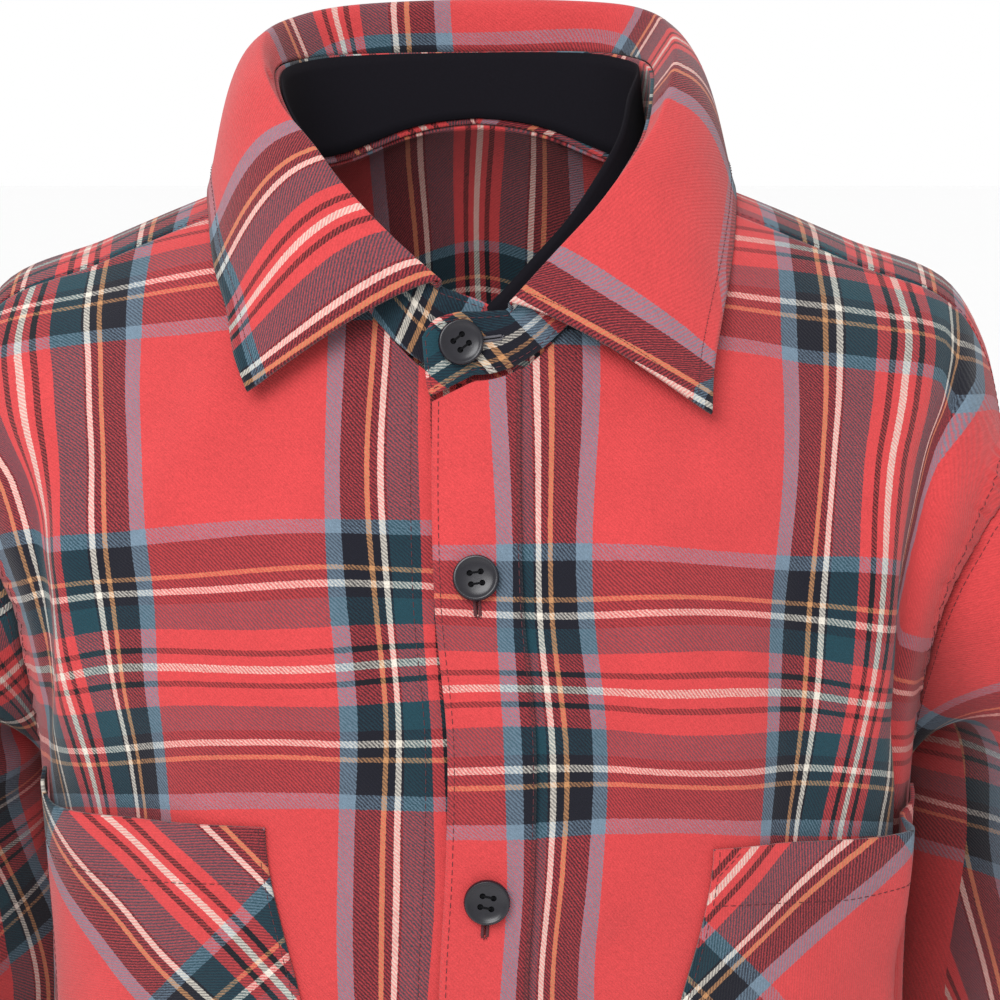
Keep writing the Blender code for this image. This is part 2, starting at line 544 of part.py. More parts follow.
def stand_form(across, up):
    """The band at the neck: across is 0 at its end underneath and 1 at its lapped end, up 0 to 1."""
    hand = np.where(across < 0.5, -1.0, 1.0)
    past, share, angle = stand_end(across)
    start = math.radians(COLLAR_RIGHT["stand_deg"][0])
    off = (hand > 0) * (2 * LAYER + LAP_ROOM + NECK_ROOM)
    lift = off * (1 - fade((angle - start) / math.radians(60))) - (hand < 0) * UNDERLAP_IN * past
    foot = neckline_point(angle, hand, lift)
    first = neckline_point(np.full_like(angle, start), hand, off)
    foot[:, 2] += FOOT_GAP
    top = collar_place("seam", share) - np.array([0, 0, GAP])
    for side, sign in (("left", 1), ("right", -1)):
        out = sign * read_smooth(STAND_ENDS, "past", side + "_out", past)
        end_up = read_smooth(STAND_ENDS, "past", side + "_up", past)
        end_top = np.stack([out, top[:, 1] + foot[:, 1] - first[:, 1], end_up], axis=-1)
        top = np.where(((past > 0) & (hand == sign))[:, None], end_top, top)
    rise = top - foot
    reach = np.clip(up, 0, 1)
    bulge = reach ** (1 - STAND_BULGE * past**2)
    return foot + np.stack([rise[:, 0] * bulge, rise[:, 1] * reach, rise[:, 2] * reach], axis=-1)


def stand_stations():
    """Places along the stand where it meets the corners of the neckline of the fronts and the yoke."""
    corner = NECK_HALF * math.sqrt(1 - YOKE_FORWARD / NECK_DROP_FRONT)
    runs = NECK_RUNS[BAND_COLUMNS:] + (corner,)
    turns = [math.asin(run / NECK_HALF) for run in runs]
    turns += [math.pi / 2 * (1 + i / NAPE_COLUMNS) for i in range(NAPE_COLUMNS)]
    sides = []
    for toward in (0.0, 1.0):
        places = np.linspace(toward + (0.5 - toward) * 2 * STAND_END, 0.5, 400)
        angles = stand_end(places + (0.5 - toward) * 1e-9)[2]
        ends = [toward + (1 - 2 * toward) * STAND_END * (1 - past) for past in reversed(STAND_ENDS["past"])]
        sides.append(ends + list(np.interp(turns, angles, places)))
    return sides[0] + [0.5] + sides[1][::-1]


def stand():
    stations = stand_stations()

    def place(across, down):
        return stand_form(at_stations(stations, across), 1 - down)

    return cloth("collar_stand", len(stations) - 1, 3, place, turned=True)


def stand_lining():
    """The dark inside of the stand."""
    ends = len(STAND_ENDS["past"])
    stations = stand_stations()[ends:-ends]

    def place(across, down):
        up = LINING_TO + (LINING_FROM - LINING_TO) * down
        return lifted(stand_form, at_stations(stations, across), up, -LAYER - LINING_ROOM)

    return cloth("stand_lining", len(stations) - 1, 2, place, wall=LINING_WALL, colour=BLACK, turned=True)


def armhole_half(where, hand):
    """Points down one half of the armhole seam, and the share of its length at each."""
    depth = np.linspace(1e-6, math.sqrt(UNDERARM), 121)
    sign = 1 if where == "front" else -1
    points = on_body(hand * edge_run(depth**2, where), sign * depth)
    length = np.concatenate([[0], np.cumsum(np.linalg.norm(np.diff(points, axis=0), axis=1))])
    return points, length / length[-1], depth


def armhole_ring(round_share, hand):
    """The armhole seam: 0 and 1 at the shoulder, 0.25 in front, 0.5 under the arm, 0.75 behind."""
    turn = np.mod(round_share, 1.0)
    reach = np.where(turn < 0.5, 2 * turn, 2 - 2 * turn)
    sides = []
    for where in ("front", "back"):
        points, at, _ = armhole_half(where, hand)
        sides.append(np.stack([np.interp(reach, at, points[:, i]) for i in range(3)], axis=-1))
    return np.where((turn < 0.5)[:, None], sides[0], sides[1])


def sleeve_stations(hand):
    """Places round a sleeve that meet the corners of the pieces at its armhole, from under the arm."""
    _, back_at, back_depth = armhole_half("back", hand)
    _, front_at, front_depth = armhole_half("front", hand)
    ends = math.sqrt(YOKE_FORWARD), -math.sqrt(YOKE_BACK_SIDE)
    yoke_climbs = np.linspace(*ends, YOKE_ROWS + 1)[::-1]
    back_climbs = [-math.sqrt(drop) for drop in reversed(BACK_ROWS[1:]) if drop <= UNDERARM]
    front_climbs = [math.sqrt(drop) for drop in FRONT_ROWS[1:] if drop <= UNDERARM]
    climbs = np.concatenate([back_climbs, yoke_climbs, front_climbs])
    behind = 1 - np.interp(-climbs, back_depth, back_at) / 2
    before = 1 + np.interp(climbs, front_depth, front_at) / 2
    return np.where(climbs < 0, behind, before)


def sleeve_ring(i, round_share, hand):
    """Ring i of the sleeve's table at places round it."""
    ring = {key: column[i] for key, column in SLEEVE_RINGS.items()}
    turn, lean = 2 * math.pi * round_share, math.radians(ring["lean_deg"])
    yaw = math.radians(ring["yaw_deg"])
    across, through = ring["across"] * np.cos(turn), ring["through"] * np.sin(turn)
    out = ring["out"] + across * math.cos(lean) * math.cos(yaw) + through * math.sin(yaw)
    y = ring["y"] - through * math.cos(yaw) + across * math.sin(yaw)
    up = ring["up"] + across * math.sin(lean)
    return np.stack([hand * out, y, up], axis=-1)


def sleeve_form(hand):
    """A smooth sleeve: round_share as in armhole_ring, along 0 at the armhole and 1 at the cuff."""

    def form(round_share, along):
        rings = [armhole_ring(round_share, hand)]
        rings += [sleeve_ring(i, round_share, hand) for i in range(len(SLEEVE_RINGS["up"]))]
        through = np.stack(rings, axis=0)
        at = np.clip(along, SLEEVE_STATIONS[0], SLEEVE_STATIONS[-1])
        point = np.zeros((len(at), 3))
        knots = np.array(SLEEVE_STATIONS)
        for i, t in enumerate(at):
            point[i] = smooth_through(knots, through[:, i], t)
        return point

    return form


def sleeve_folds(round_share, along, hand):
    """Folds of a sleeve. They run on over the top of it, and die away at the armhole and the cuff."""
    turn = np.mod(round_share, 1.0)
    shift = 0.04 * (hand < 0)
    ends = fade(along / 0.1) * fade((1 - along) / 0.06)
    reach = SLEEVE_REACH
    depth = sum(ridges(SLEEVE_FOLDS, (turn + shift + k), along, reach) for k in (-1, 0, 1))
    return depth * ends


def on_sleeve(round_share, along, hand, lift=0.0):
    depth = lift + sleeve_folds(round_share, along, hand)
    return lifted(sleeve_form(hand), round_share, along, -hand * depth)


def sleeve(name, hand):
    stations = sleeve_stations(hand)

    def place(across, down):
        along = SLEEVE_START + (SLEEVE_END - SLEEVE_START) * down
        return on_sleeve(at_stations(stations, across), along, hand)

    return cloth(name, len(stations) - 1, 18, place, turned=hand > 0, tube=True)


def cuff_point(hand, turn, down, lift):
    """A place on a cuff: turn round the wrist, down 0 at the sleeve and 1 at the edge, and off its face."""
    last = len(SLEEVE_RINGS["up"]) - 1
    ring = sleeve_ring(last, turn, hand)
    above, middle = (
        np.array([hand * SLEEVE_RINGS["out"][i], SLEEVE_RINGS["y"][i], SLEEVE_RINGS["up"][i]])
        for i in (last - 1, last)
    )
    axis = (middle - above) / np.linalg.norm(middle - above)
    off = (ring - middle) / np.linalg.norm(ring - middle, axis=1)[:, None]
    return ring + off * np.reshape(lift, (-1, 1)) + axis * (GAP + CUFF_LONG * down)[:, None]


def cuff(name, hand):
    """A cuff: a band round the wrist whose ends overlap."""

    def place(across, down):
        turn = CUFF_OPENS - CUFF_LAP / 2 + across * (1 + CUFF_LAP)
        return cuff_point(hand, turn, down, 1.6 * LAYER * across)

    return cloth(name, 26, 3, place, turned=hand > 0)


def sleeve_placket(name, hand):
    """The strip over the slit above a cuff."""

    def place(across, down):
        turn = CUFF_OPENS + (2 * across - 1) * SLIT_HALF
        return on_sleeve(turn, SLIT_FROM + (0.998 - SLIT_FROM) * down, hand, LAYER)

    return cloth(name, 3, 9, place, turned=hand > 0)


def pocket(name, side, hand):
    """A patch pocket, wider below, whose mouth stands off the front towards its outer end."""

    def place(across, down):
        inner = POCKET_INNER[side] - POCKET_SPREAD * fade(down * 1.6)
        outer = POCKET_INNER[side] + POCKET_WIDE
        run = inner + (outer - inner) * across
        top = POCKET_TOP[side] - POCKET_CORNER * fade((across - 0.86) / 0.14)
        bottom = POCKET_TOP[side] + POCKET_LONG + POCKET_POINT * (1 - np.abs(2 * across - 1))
        mouth = np.sin(math.pi * across**1.8) * (1 - fade(down / 0.55))
        lift = LAYER + POCKET_GAPE * mouth + POCKET_EASE * (0.5 + 0.5 * fade((run - 0.11) / 0.06))
        return on_body(hand * run, np.sqrt(top + (bottom - top) * down), lift)

    return cloth(name, 10, 10, place, turned=hand < 0)


def button(name, middle, facing):
    """A round button with a raised rim, its back at middle and its face turned to facing."""
    radius = BUTTON_ACROSS / 2
    profile = (
        (0.0, 0.0),
        (0.80 * radius, 0.0),
        (radius, 0.45 * BUTTON_THICK),
        (0.93 * radius, BUTTON_THICK),
        (0.70 * radius, 0.72 * BUTTON_THICK),
        (0.0, 0.60 * BUTTON_THICK),
    )
    mesh = bmesh.new()
    points = [mesh.verts.new((x, 0, z)) for x, z in profile]
    edges = [mesh.edges.new(pair) for pair in zip(points, points[1:])]
    bmesh.ops.spin(
        mesh,
        geom=points + edges,
        cent=(0, 0, 0),
        axis=(0, 0, 1),
        angle=2 * math.pi,
        steps=BUTTON_STEPS,
        use_merge=True,
    )
    bmesh.ops.remove_doubles(mesh, verts=mesh.verts, dist=1e-6)
    bmesh.ops.recalc_face_normals(mesh, faces=mesh.faces)
    piece = finish(mesh, name, CHARCOAL, 0.35)
    piece.location = Vector(middle) + Vector(facing) * BUTTON_LIFT
    piece.rotation_euler = Vector(facing).to_track_quat("Z", "Y").to_euler()
    return piece


def buttons():
    """The top button on the stand, the others down the band, and one on each cuff."""
    climbs = np.linspace(0.2, math.sqrt(HEM_CENTRE), 400)
    band_lift = lap_lift(0.0, climbs**2, 1) + LAYER
    heights = on_body(np.zeros(400), climbs, band_lift)[:, 2]
    for i, height in enumerate(BUTTON_HEIGHTS, start=2):
        climb = np.interp(-height, -heights, climbs)
        lift = np.interp(climb, climbs, band_lift)
        low, high = on_body(0.0, climb, lift)[0], on_body(0.0, climb, lift + LAYER)[0]
        button(f"button_{i}", low, (high - low) / np.linalg.norm(high - low))
    along, up = (np.array([share]) for share in BUTTON_ON_STAND)
    low, high = stand_form(along, up)[0], lifted(stand_form, along, up, LAYER)[0]
    button("button_1", low, (high - low) / np.linalg.norm(high - low))
    for name, hand in (("button_cuff_left", 1), ("button_cuff_right", -1)):
        turn, down = np.array([CUFF_OPENS]), np.array([0.5])
        low = cuff_point(hand, turn, down, 1.6 * LAYER)[0]
        high = cuff_point(hand, turn, down, 2.6 * LAYER)[0]
        button(name, low, (high - low) / np.linalg.norm(high - low))


for old in list(bpy.data.objects):
    bpy.data.objects.remove(old)

back()
yoke()
front("front_left", 1)
front("front_right", -1)
button_band()
stand()
stand_lining()
fall()
for side, hand in (("left", 1), ("right", -1)):
    sleeve(f"sleeve_{side}", hand)
    cuff(f"cuff_{side}", hand)
    sleeve_placket(f"sleeve_placket_{side}", hand)
    pocket(f"pocket_{side}", side, hand)
buttons()
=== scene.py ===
import math

import bmesh
import bpy
import numpy as np
from mathutils import Matrix, Vector


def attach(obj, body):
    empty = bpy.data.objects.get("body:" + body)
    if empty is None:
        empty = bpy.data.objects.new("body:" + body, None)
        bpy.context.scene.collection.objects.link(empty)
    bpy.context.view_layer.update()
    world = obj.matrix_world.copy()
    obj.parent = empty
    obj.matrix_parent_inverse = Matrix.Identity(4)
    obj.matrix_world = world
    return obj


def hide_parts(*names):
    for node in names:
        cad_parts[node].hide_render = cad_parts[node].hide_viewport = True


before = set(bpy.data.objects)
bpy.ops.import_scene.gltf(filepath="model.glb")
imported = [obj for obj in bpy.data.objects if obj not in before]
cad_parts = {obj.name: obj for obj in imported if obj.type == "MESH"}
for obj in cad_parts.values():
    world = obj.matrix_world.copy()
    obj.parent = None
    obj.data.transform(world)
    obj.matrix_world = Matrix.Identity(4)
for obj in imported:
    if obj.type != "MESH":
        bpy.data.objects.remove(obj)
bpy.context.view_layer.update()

# the worn form: the same tables as the solids are made from
cloth = {"wall": 0.0014, "gap": 0.0003, "nudge": 0.0006, "layer": 0.0017}
neck = {
    "half": 0.071, "dropFront": 0.080, "dropBack": 0.017, "slant": 0.45, "napeRise": 0.028,
    "napeFrom": 0.03, "napeFade": 0.12, "napeHalf": 0.06, "yokeForward": 0.0085, "yokeBack": 0.115,
    "yokeBackSide": 0.070,
}
hem = {"underarm": 0.240, "centre": 0.700, "side": 0.645, "levelBelow": 0.21}
lap = {
    "overlap": 0.0150, "bandInner": 0.0165, "room": 0.0003, "neckRoom": 0.0005, "neckFrom": 0.13,
    "neckFade": 0.07, "past": 0.004, "pastFade": 0.03,
}
shoulderLine = {
    "run": (0.0, 0.07, 0.106, 0.15, 0.1935, 0.216, 0.246, 0.262, 0.285),
    "out": (0.0, 0.07, 0.103, 0.144, 0.185, 0.1965, 0.204, 0.208, 0.213),
    "up": (0.004, 0.0, -0.012, -0.029, -0.047, -0.066, -0.095, -0.111, -0.134),
}
bodySections = {
    "drop": (0.0, 0.005, 0.02, 0.05, 0.075, 0.11, 0.15, 0.19, 0.23, 0.28, 0.35, 0.45, 0.57, 0.72),
    "halfWidth": (0.236, 0.236, 0.235, 0.23, 0.223, 0.209, 0.1875, 0.1735, 0.17, 0.1695, 0.17, 0.1715,
        0.178, 0.19),
    "frontDepth": (0.0, 0.027, 0.051, 0.073, 0.086, 0.101, 0.113, 0.12, 0.123, 0.124, 0.123, 0.12, 0.122,
        0.13),
    "backDepth": (0.0, 0.027, 0.053, 0.08, 0.094, 0.108, 0.118, 0.122, 0.121, 0.116, 0.109, 0.104, 0.109,
        0.121),
    "squareness": (2.2, 2.2, 2.3, 2.6, 2.8, 3.0, 3.1, 3.0, 2.8, 2.65, 2.55, 2.5, 2.45, 2.4),
}
frontSway = {
    "half": 0.07,
    "drop": (0.06, 0.13, 0.155, 0.2, 0.245, 0.29, 0.36, 0.45, 0.55, 0.7),
    "left": (0.0, 0.0, 0.001, 0.0055, 0.005, 0.0025, 0.003, -0.001, 0.002, 0.0),
}
armhole = {
    "drop": (0.0, 0.01, 0.03, 0.06, 0.09, 0.12, 0.15, 0.18, 0.205, 0.225),
    "front": (0.25, 0.247, 0.238, 0.221, 0.212, 0.203, 0.196, 0.203, 0.217, 0.231),
    "back": (0.25, 0.248, 0.243, 0.233, 0.226, 0.22, 0.216, 0.218, 0.226, 0.235),
}
collarTurns = (9.6, 24, 40, 55, 70, 84, 100, 126, 150, 180)  # degrees round the neck from the front
collarRight = {
    "seamOut": (0.0118, 0.029, 0.046, 0.058, 0.069, 0.076, 0.0775, 0.068, 0.046, 0.0),
    "seamY": (-0.0845, -0.078, -0.067, -0.0545, -0.0385, -0.018, 0.01, 0.036, 0.052, 0.059),
    "seamUp": (-0.0425, -0.0275, -0.011, 0.004, 0.016, 0.028, 0.037, 0.041, 0.043, 0.044),
    "crestOut": (0.012, 0.03, 0.0475, 0.06, 0.072, 0.0805, 0.0835, 0.0745, 0.05, 0.0),
    "crestY": (-0.0875, -0.081, -0.07, -0.058, -0.041, -0.019, 0.012, 0.041, 0.059, 0.067),
    "crestUp": (-0.04, -0.0245, -0.007, 0.0085, 0.0215, 0.0355, 0.0485, 0.057, 0.063, 0.0655),
    "edgeOut": (0.0816, 0.0868, 0.0905, 0.0965, 0.1005, 0.103, 0.099, 0.084, 0.053, 0.0),
    "edgeY": (-0.0975, -0.0895, -0.076, -0.059, -0.037, -0.011, 0.024, 0.057, 0.08, 0.088),
    "edgeUp": (-0.0785, -0.066, -0.051, -0.0365, -0.02, -0.0075, -0.003, 0.0, 0.003, 0.005),
}
collarLeft = {
    "seamOut": (0.0118, 0.027, 0.042, 0.054, 0.063, 0.067, 0.068, 0.06, 0.042, 0.0),
    "seamY": (-0.0882, -0.082, -0.071, -0.057, -0.041, -0.02, 0.01, 0.036, 0.053, 0.059),
    "seamUp": (-0.05, -0.0345, -0.019, -0.003, 0.011, 0.025, 0.037, 0.042, 0.044, 0.044),
    "crestOut": (0.012, 0.028, 0.044, 0.057, 0.068, 0.0745, 0.0765, 0.07, 0.05, 0.0),
    "crestY": (-0.0912, -0.085, -0.074, -0.061, -0.044, -0.021, 0.012, 0.041, 0.059, 0.067),
    "crestUp": (-0.048, -0.031, -0.0145, 0.002, 0.0175, 0.034, 0.049, 0.059, 0.064, 0.0655),
    "edgeOut": (0.0848, 0.086, 0.09, 0.094, 0.0975, 0.099, 0.096, 0.082, 0.053, 0.0),
    "edgeY": (-0.0985, -0.0905, -0.077, -0.06, -0.039, -0.013, 0.024, 0.057, 0.08, 0.088),
    "edgeUp": (-0.0866, -0.071, -0.053, -0.038, -0.0207, -0.0075, -0.003, 0.0, 0.003, 0.005),
}
standEnds = {
    "past": (0.0, 0.25, 0.62, 0.85, 1.0),
    "leftOut": (0.0118, 0.003, -0.0085, -0.0155, -0.0189),
    "leftUp": (-0.0506, -0.0511, -0.0518, -0.0548, -0.0601),
    "rightOut": (0.0118, 0.003, -0.0065, -0.0118, -0.014),
    "rightUp": (-0.0428, -0.0457, -0.05, -0.0545, -0.06),
}
stand = {
    "end": 0.075, "footEndLeft": 0.0154, "footEndRight": 0.0130, "bulge": 0.45, "footGap": 0.0020,
    "underlapIn": 0.0021, "button": (0.9665, 0.55), "lining": 0.0009, "lapTurn": 60.0,
    "gapTurn": (0.7, 0.5),
}
fallShape = {
    "crest": 0.26, "crestHalf": 0.1, "crown": 0.0045, "foldHalf": 0.0034, "endFold": 0.35, "endFade": 0.12,
    "crownPower": 1.2, "crownLean": (0.75, 0.66), "tall": 2.4, "insideShare": 0.6, "outsideOut": 1.1,
    "outsideDown": 0.8, "thick": 0.0022,
}
sleeveRings = {
    "out": (0.212, 0.222, 0.224, 0.229, 0.237, 0.246, 0.254),
    "y": (0.0, 0.0, 0.001, 0.001, -0.007, -0.018, -0.028),
    "up": (-0.186, -0.252, -0.33, -0.415, -0.495, -0.567, -0.628),
    "across": (0.043, 0.0375, 0.0465, 0.045, 0.043, 0.04, 0.035),
    "through": (0.0775, 0.079, 0.074, 0.067, 0.06, 0.053, 0.04),
    "lean": (50.0, 20.0, 6.0, 0.0, -6.0, -8.0, -9.0),
    "yaw": (12.0, 17.0, 17.0, 14.0, 8.0, 4.0, 0.0),
}
sleeveShape = {
    "stations": (0.0, 0.12, 0.25, 0.405, 0.574, 0.733, 0.877, 1.0), "reach": (0.40, 0.52),
    "start": 0.0012, "end": 0.9994, "cuffLong": 0.066, "cuffLap": 0.09, "cuffOpens": 0.80,
    "slitFrom": 0.72, "slitHalf": 0.035, "slitTo": 0.998, "rightTurn": 0.04, "foldFade": (0.1, 0.06),
    "pressFade": 0.2, "hollowFade": 0.08, "cuffEase": 1.6,
}
pocketShape = {
    "topLeft": 0.2415, "topRight": 0.2330, "long": 0.140, "innerLeft": 0.0845, "innerRight": 0.0765,
    "wide": 0.108, "spread": 0.016, "gape": 0.0070, "point": 0.018, "corner": 0.0085, "ease": 0.0006,
    "spreadLong": 0.625, "mouthLong": 0.55, "cornerFrom": 0.78, "turnFrom": 0.11, "turnFade": 0.06,
}
buttonShape = {
    "across": 0.0165, "thick": 0.0032, "lift": 0.0006,
    "heights": (-0.1435, -0.2575, -0.3715, -0.4855, -0.599),
}

# main folds: along and down at the start, along and down at the end, half width, and how far out or in
frontFolds = (
    (0.205, 0.07, 0.212, 0.19, 0.016, -0.004), (0.15, 0.26, 0.175, 0.56, 0.03, 0.004),
    (0.06, 0.33, 0.085, 0.72, 0.026, 0.006), (0.185, 0.36, 0.215, 0.72, 0.024, 0.008),
    (0.105, 0.43, 0.13, 0.74, 0.028, -0.005), (0.215, 0.24, 0.205, 0.52, 0.018, -0.006),
    (0.04, 0.52, 0.045, 0.74, 0.022, -0.004),
)
backFolds = (
    (0.11, 0.15, 0.095, 0.74, 0.024, 0.01), (0.15, 0.18, 0.16, 0.74, 0.022, 0.008),
    (0.182, 0.2, 0.195, 0.56, 0.018, 0.008), (0.06, 0.26, 0.07, 0.74, 0.024, -0.007),
    (0.02, 0.3, 0.015, 0.74, 0.026, 0.008), (0.125, 0.33, 0.135, 0.74, 0.016, -0.006),
    (0.178, 0.4, 0.19, 0.74, 0.016, -0.005),
)
sleeveFolds = (
    (0.1, 0.12, 0.34, 0.3, 0.03, 0.008), (0.2, 0.16, 0.42, 0.42, 0.034, -0.007),
    (0.05, 0.42, 0.3, 0.54, 0.03, -0.008), (0.3, 0.5, 0.48, 0.56, 0.024, 0.008),
    (0.62, 0.4, 0.88, 0.52, 0.03, -0.009), (0.55, 0.56, 0.8, 0.66, 0.026, 0.008),
    (0.15, 0.74, 0.42, 0.84, 0.024, 0.006), (0.72, 0.2, 0.66, 0.52, 0.034, 0.008),
    (0.9, 0.62, 1.05, 0.78, 0.028, -0.007),
)
# finer creases laid over them: on the body along is signed, on a sleeve it is the share of a turn
frontCreases = (
    (-0.15, 0.09, -0.158, 0.24, 0.012, 0.0036), (-0.06, 0.115, -0.036, 0.26, 0.014, 0.0024),
    (0.14, 0.06, 0.15, 0.3, 0.013, 0.0042), (0.12, 0.03, 0.14, 0.15, 0.016, -0.0022),
    (0.12, 0.09, 0.112, 0.29, 0.012, -0.003), (0.03, 0.16, 0.055, 0.215, 0.011, -0.0026),
    (0.045, 0.215, 0.075, 0.3, 0.013, 0.0024), (-0.045, 0.2, -0.03, 0.33, 0.012, -0.0024),
    (0.16, 0.2, 0.168, 0.3, 0.01, 0.0028), (-0.12, 0.18, -0.135, 0.3, 0.016, -0.003),
    (0.09, 0.42, 0.115, 0.64, 0.015, -0.0032), (-0.085, 0.05, -0.13, 0.15, 0.014, 0.0024),
    (-0.03, 0.12, -0.04, 0.23, 0.009, -0.0022), (0.06, 0.09, 0.072, 0.2, 0.013, 0.0024),
    (-0.1, 0.19, -0.06, 0.235, 0.011, 0.0018), (0.026, 0.24, 0.048, 0.275, 0.012, 0.0022),
    (-0.024, 0.28, -0.06, 0.34, 0.013, 0.0022),
)
backCreases = (
    (-0.17, 0.13, -0.15, 0.4, 0.012, 0.004), (-0.11, 0.14, -0.09, 0.56, 0.014, -0.0042),
    (-0.05, 0.16, -0.06, 0.42, 0.011, 0.003), (0.015, 0.17, 0.005, 0.6, 0.015, -0.0038),
    (0.08, 0.13, 0.09, 0.47, 0.012, 0.0036), (0.14, 0.15, 0.155, 0.52, 0.013, -0.0034),
    (0.18, 0.2, 0.17, 0.61, 0.01, 0.004), (-0.08, 0.36, -0.07, 0.69, 0.014, 0.0032),
    (0.05, 0.42, 0.06, 0.7, 0.013, -0.0038), (0.12, 0.38, 0.105, 0.69, 0.012, 0.003),
)
# where the sleeves press towards the body's sides, behind what shows in front
sleevePress = ((0.62, -0.1, 0.6, 1.3, 0.04, 0.0075), (0.57, -0.1, 0.56, 1.1, 0.026, 0.003))
# and the hollow between a sleeve's front and the body
sleeveHollow = (
    (0.49, 0.04, 0.47, 0.76, 0.036, -0.01), (0.47, 0.3, 0.48, 0.98, 0.026, -0.004),
)
sleeveCreases = (
    (0.14, 0.05, 0.26, 0.16, 0.01, 0.0038), (0.22, 0.1, 0.38, 0.22, 0.011, -0.0042),
    (0.3, 0.14, 0.44, 0.3, 0.012, 0.0046), (0.18, 0.3, 0.4, 0.38, 0.011, -0.0042),
    (0.08, 0.34, 0.3, 0.47, 0.012, 0.0046), (0.66, 0.08, 0.54, 0.22, 0.012, 0.0048),
    (0.76, 0.14, 0.58, 0.33, 0.013, -0.0046), (0.6, 0.34, 0.84, 0.43, 0.011, 0.005),
    (0.86, 0.4, 1.06, 0.52, 0.012, -0.0044), (0.36, 0.46, 0.58, 0.54, 0.01, 0.0048),
    (0.24, 0.6, 0.5, 0.7, 0.01, 0.0042), (0.7, 0.62, 0.96, 0.72, 0.011, -0.0042),
    (0.02, 0.44, 0.28, 0.51, 0.009, 0.004), (0.1, 0.52, 0.36, 0.63, 0.01, -0.0036),
    (0.94, 0.6, 1.2, 0.66, 0.011, 0.0042), (0.06, 0.84, 0.05, 0.99, 0.007, 0.0026),
    (0.2, 0.8, 0.22, 0.98, 0.008, -0.0028), (0.33, 0.86, 0.31, 0.99, 0.007, 0.0028),
    (0.62, 0.82, 0.64, 0.99, 0.008, 0.003), (0.9, 0.85, 0.92, 0.99, 0.007, -0.0026),
)
# how many places each curve is worked out at
samples = {"section": 49, "runs": 28, "climbs": 160, "armhole": 121, "loop": 129, "band": 400,
           "standEnd": 60, "path": 500}
foldEdges = {"ends": 0.3, "aside": 0.012, "asideBack": 1.5, "side": 0.02, "centre": 0.03, "fine": 0.012}

# a fold down the front beside each armhole: the cloth tucked into it skips a stretch of the bolt
tucks = {
    1: {"drop": (0.0, 0.03, 0.05, 0.07, 0.1, 0.13, 0.16, 0.19, 0.22, 0.7),
        "run": (0.19, 0.187, 0.183, 0.176, 0.17, 0.166, 0.166, 0.169, 0.172, 0.178),
        "share": (0.0, 0.22, 0.42, 0.66, 0.95, 1.0, 1.0, 1.0, 0.8, 0.0),
        "skip": (0.030, -0.026), "deep": -0.0068},
    -1: {"drop": (0.0, 0.03, 0.05, 0.07, 0.09, 0.11, 0.13, 0.15, 0.17, 0.19, 0.21, 0.7),
         "run": (0.195, 0.193, 0.188, 0.18, 0.172, 0.166, 0.164, 0.163, 0.165, 0.17, 0.18, 0.184),
         "share": (0.0, 0.0, 0.2, 0.6, 0.9, 1.0, 1.0, 1.0, 0.9, 0.6, 0.2, 0.0),
         "skip": (-0.011, 0.004), "deep": -0.0042},
}
tuckShape = {"wide": 0.0070, "turn": 0.0091, "ridgeAside": 0.013, "ridgeWide": 0.010, "ridgeShare": -0.42}


def fade(x):
    x = np.clip(x, 0, 1)
    return x * x * (3 - 2 * x)


def smoothThrough(threadShadeFills, values, at):
    # values are numbers, or stacks of points that are each read at a place of their own
    threadShadeFills, values = np.array(threadShadeFills, float), np.array(values, float)
    at = np.clip(np.asarray(at, float), threadShadeFills[0], threadShadeFills[-1])
    slopes = np.gradient(values, threadShadeFills, axis=0)
    k = np.clip(np.searchsorted(threadShadeFills, at, side="right") - 1, 0, len(threadShadeFills) - 2)
    step = threadShadeFills[k + 1] - threadShadeFills[k]
    t = (at - threadShadeFills[k]) / step
    here, after = (k,), (k + 1,)
    if values.ndim > 1:
        each = np.arange(len(at))
        here, after, step, t = (k, each), (k + 1, each), step[:, None], t[:, None]
    easeIn, easeOut = t * t * (3 - 2 * t), t * t * (t - 1)
    start = values[here] * (1 - easeIn) + values[after] * easeIn
    return start + step * (slopes[here] * t * (1 - t) ** 2 + slopes[after] * easeOut)


def lengthAlong(points):
    return np.concatenate([[0], np.cumsum(np.linalg.norm(np.diff(points, axis=0), axis=1))])


def pointsAt(at, lengths, points):
    return np.stack([np.interp(at, lengths, column) for column in points.T], axis=-1)


def sectionPoint(distance, halfWidth, depth, squareness):
    angle = np.linspace(0, math.pi / 2, samples["section"])
    power = 2 / squareness[:, None]
    x = halfWidth[:, None] * np.sin(angle) ** power
    y = depth[:, None] * np.cos(angle) ** power
    steps = np.hypot(np.diff(x, axis=1), np.diff(y, axis=1))
    length = np.concatenate([np.zeros((len(x), 1)), np.cumsum(steps, axis=1)], axis=1)
    distance = np.clip(distance, 0, length[:, -1] - 1e-7)
    k = (length <= distance[:, None]).sum(axis=1) - 1
    row = np.arange(len(x))
    t = (distance - length[row, k]) / np.maximum(steps[row, k], 1e-9)
    return (x[row, k] + t * (x[row, k + 1] - x[row, k]), y[row, k] + t * (y[row, k + 1] - y[row, k]),
            length[:, -1])


def section(column, climb):
    return smoothThrough(np.sqrt(bodySections["drop"]), bodySections[column], np.abs(climb))


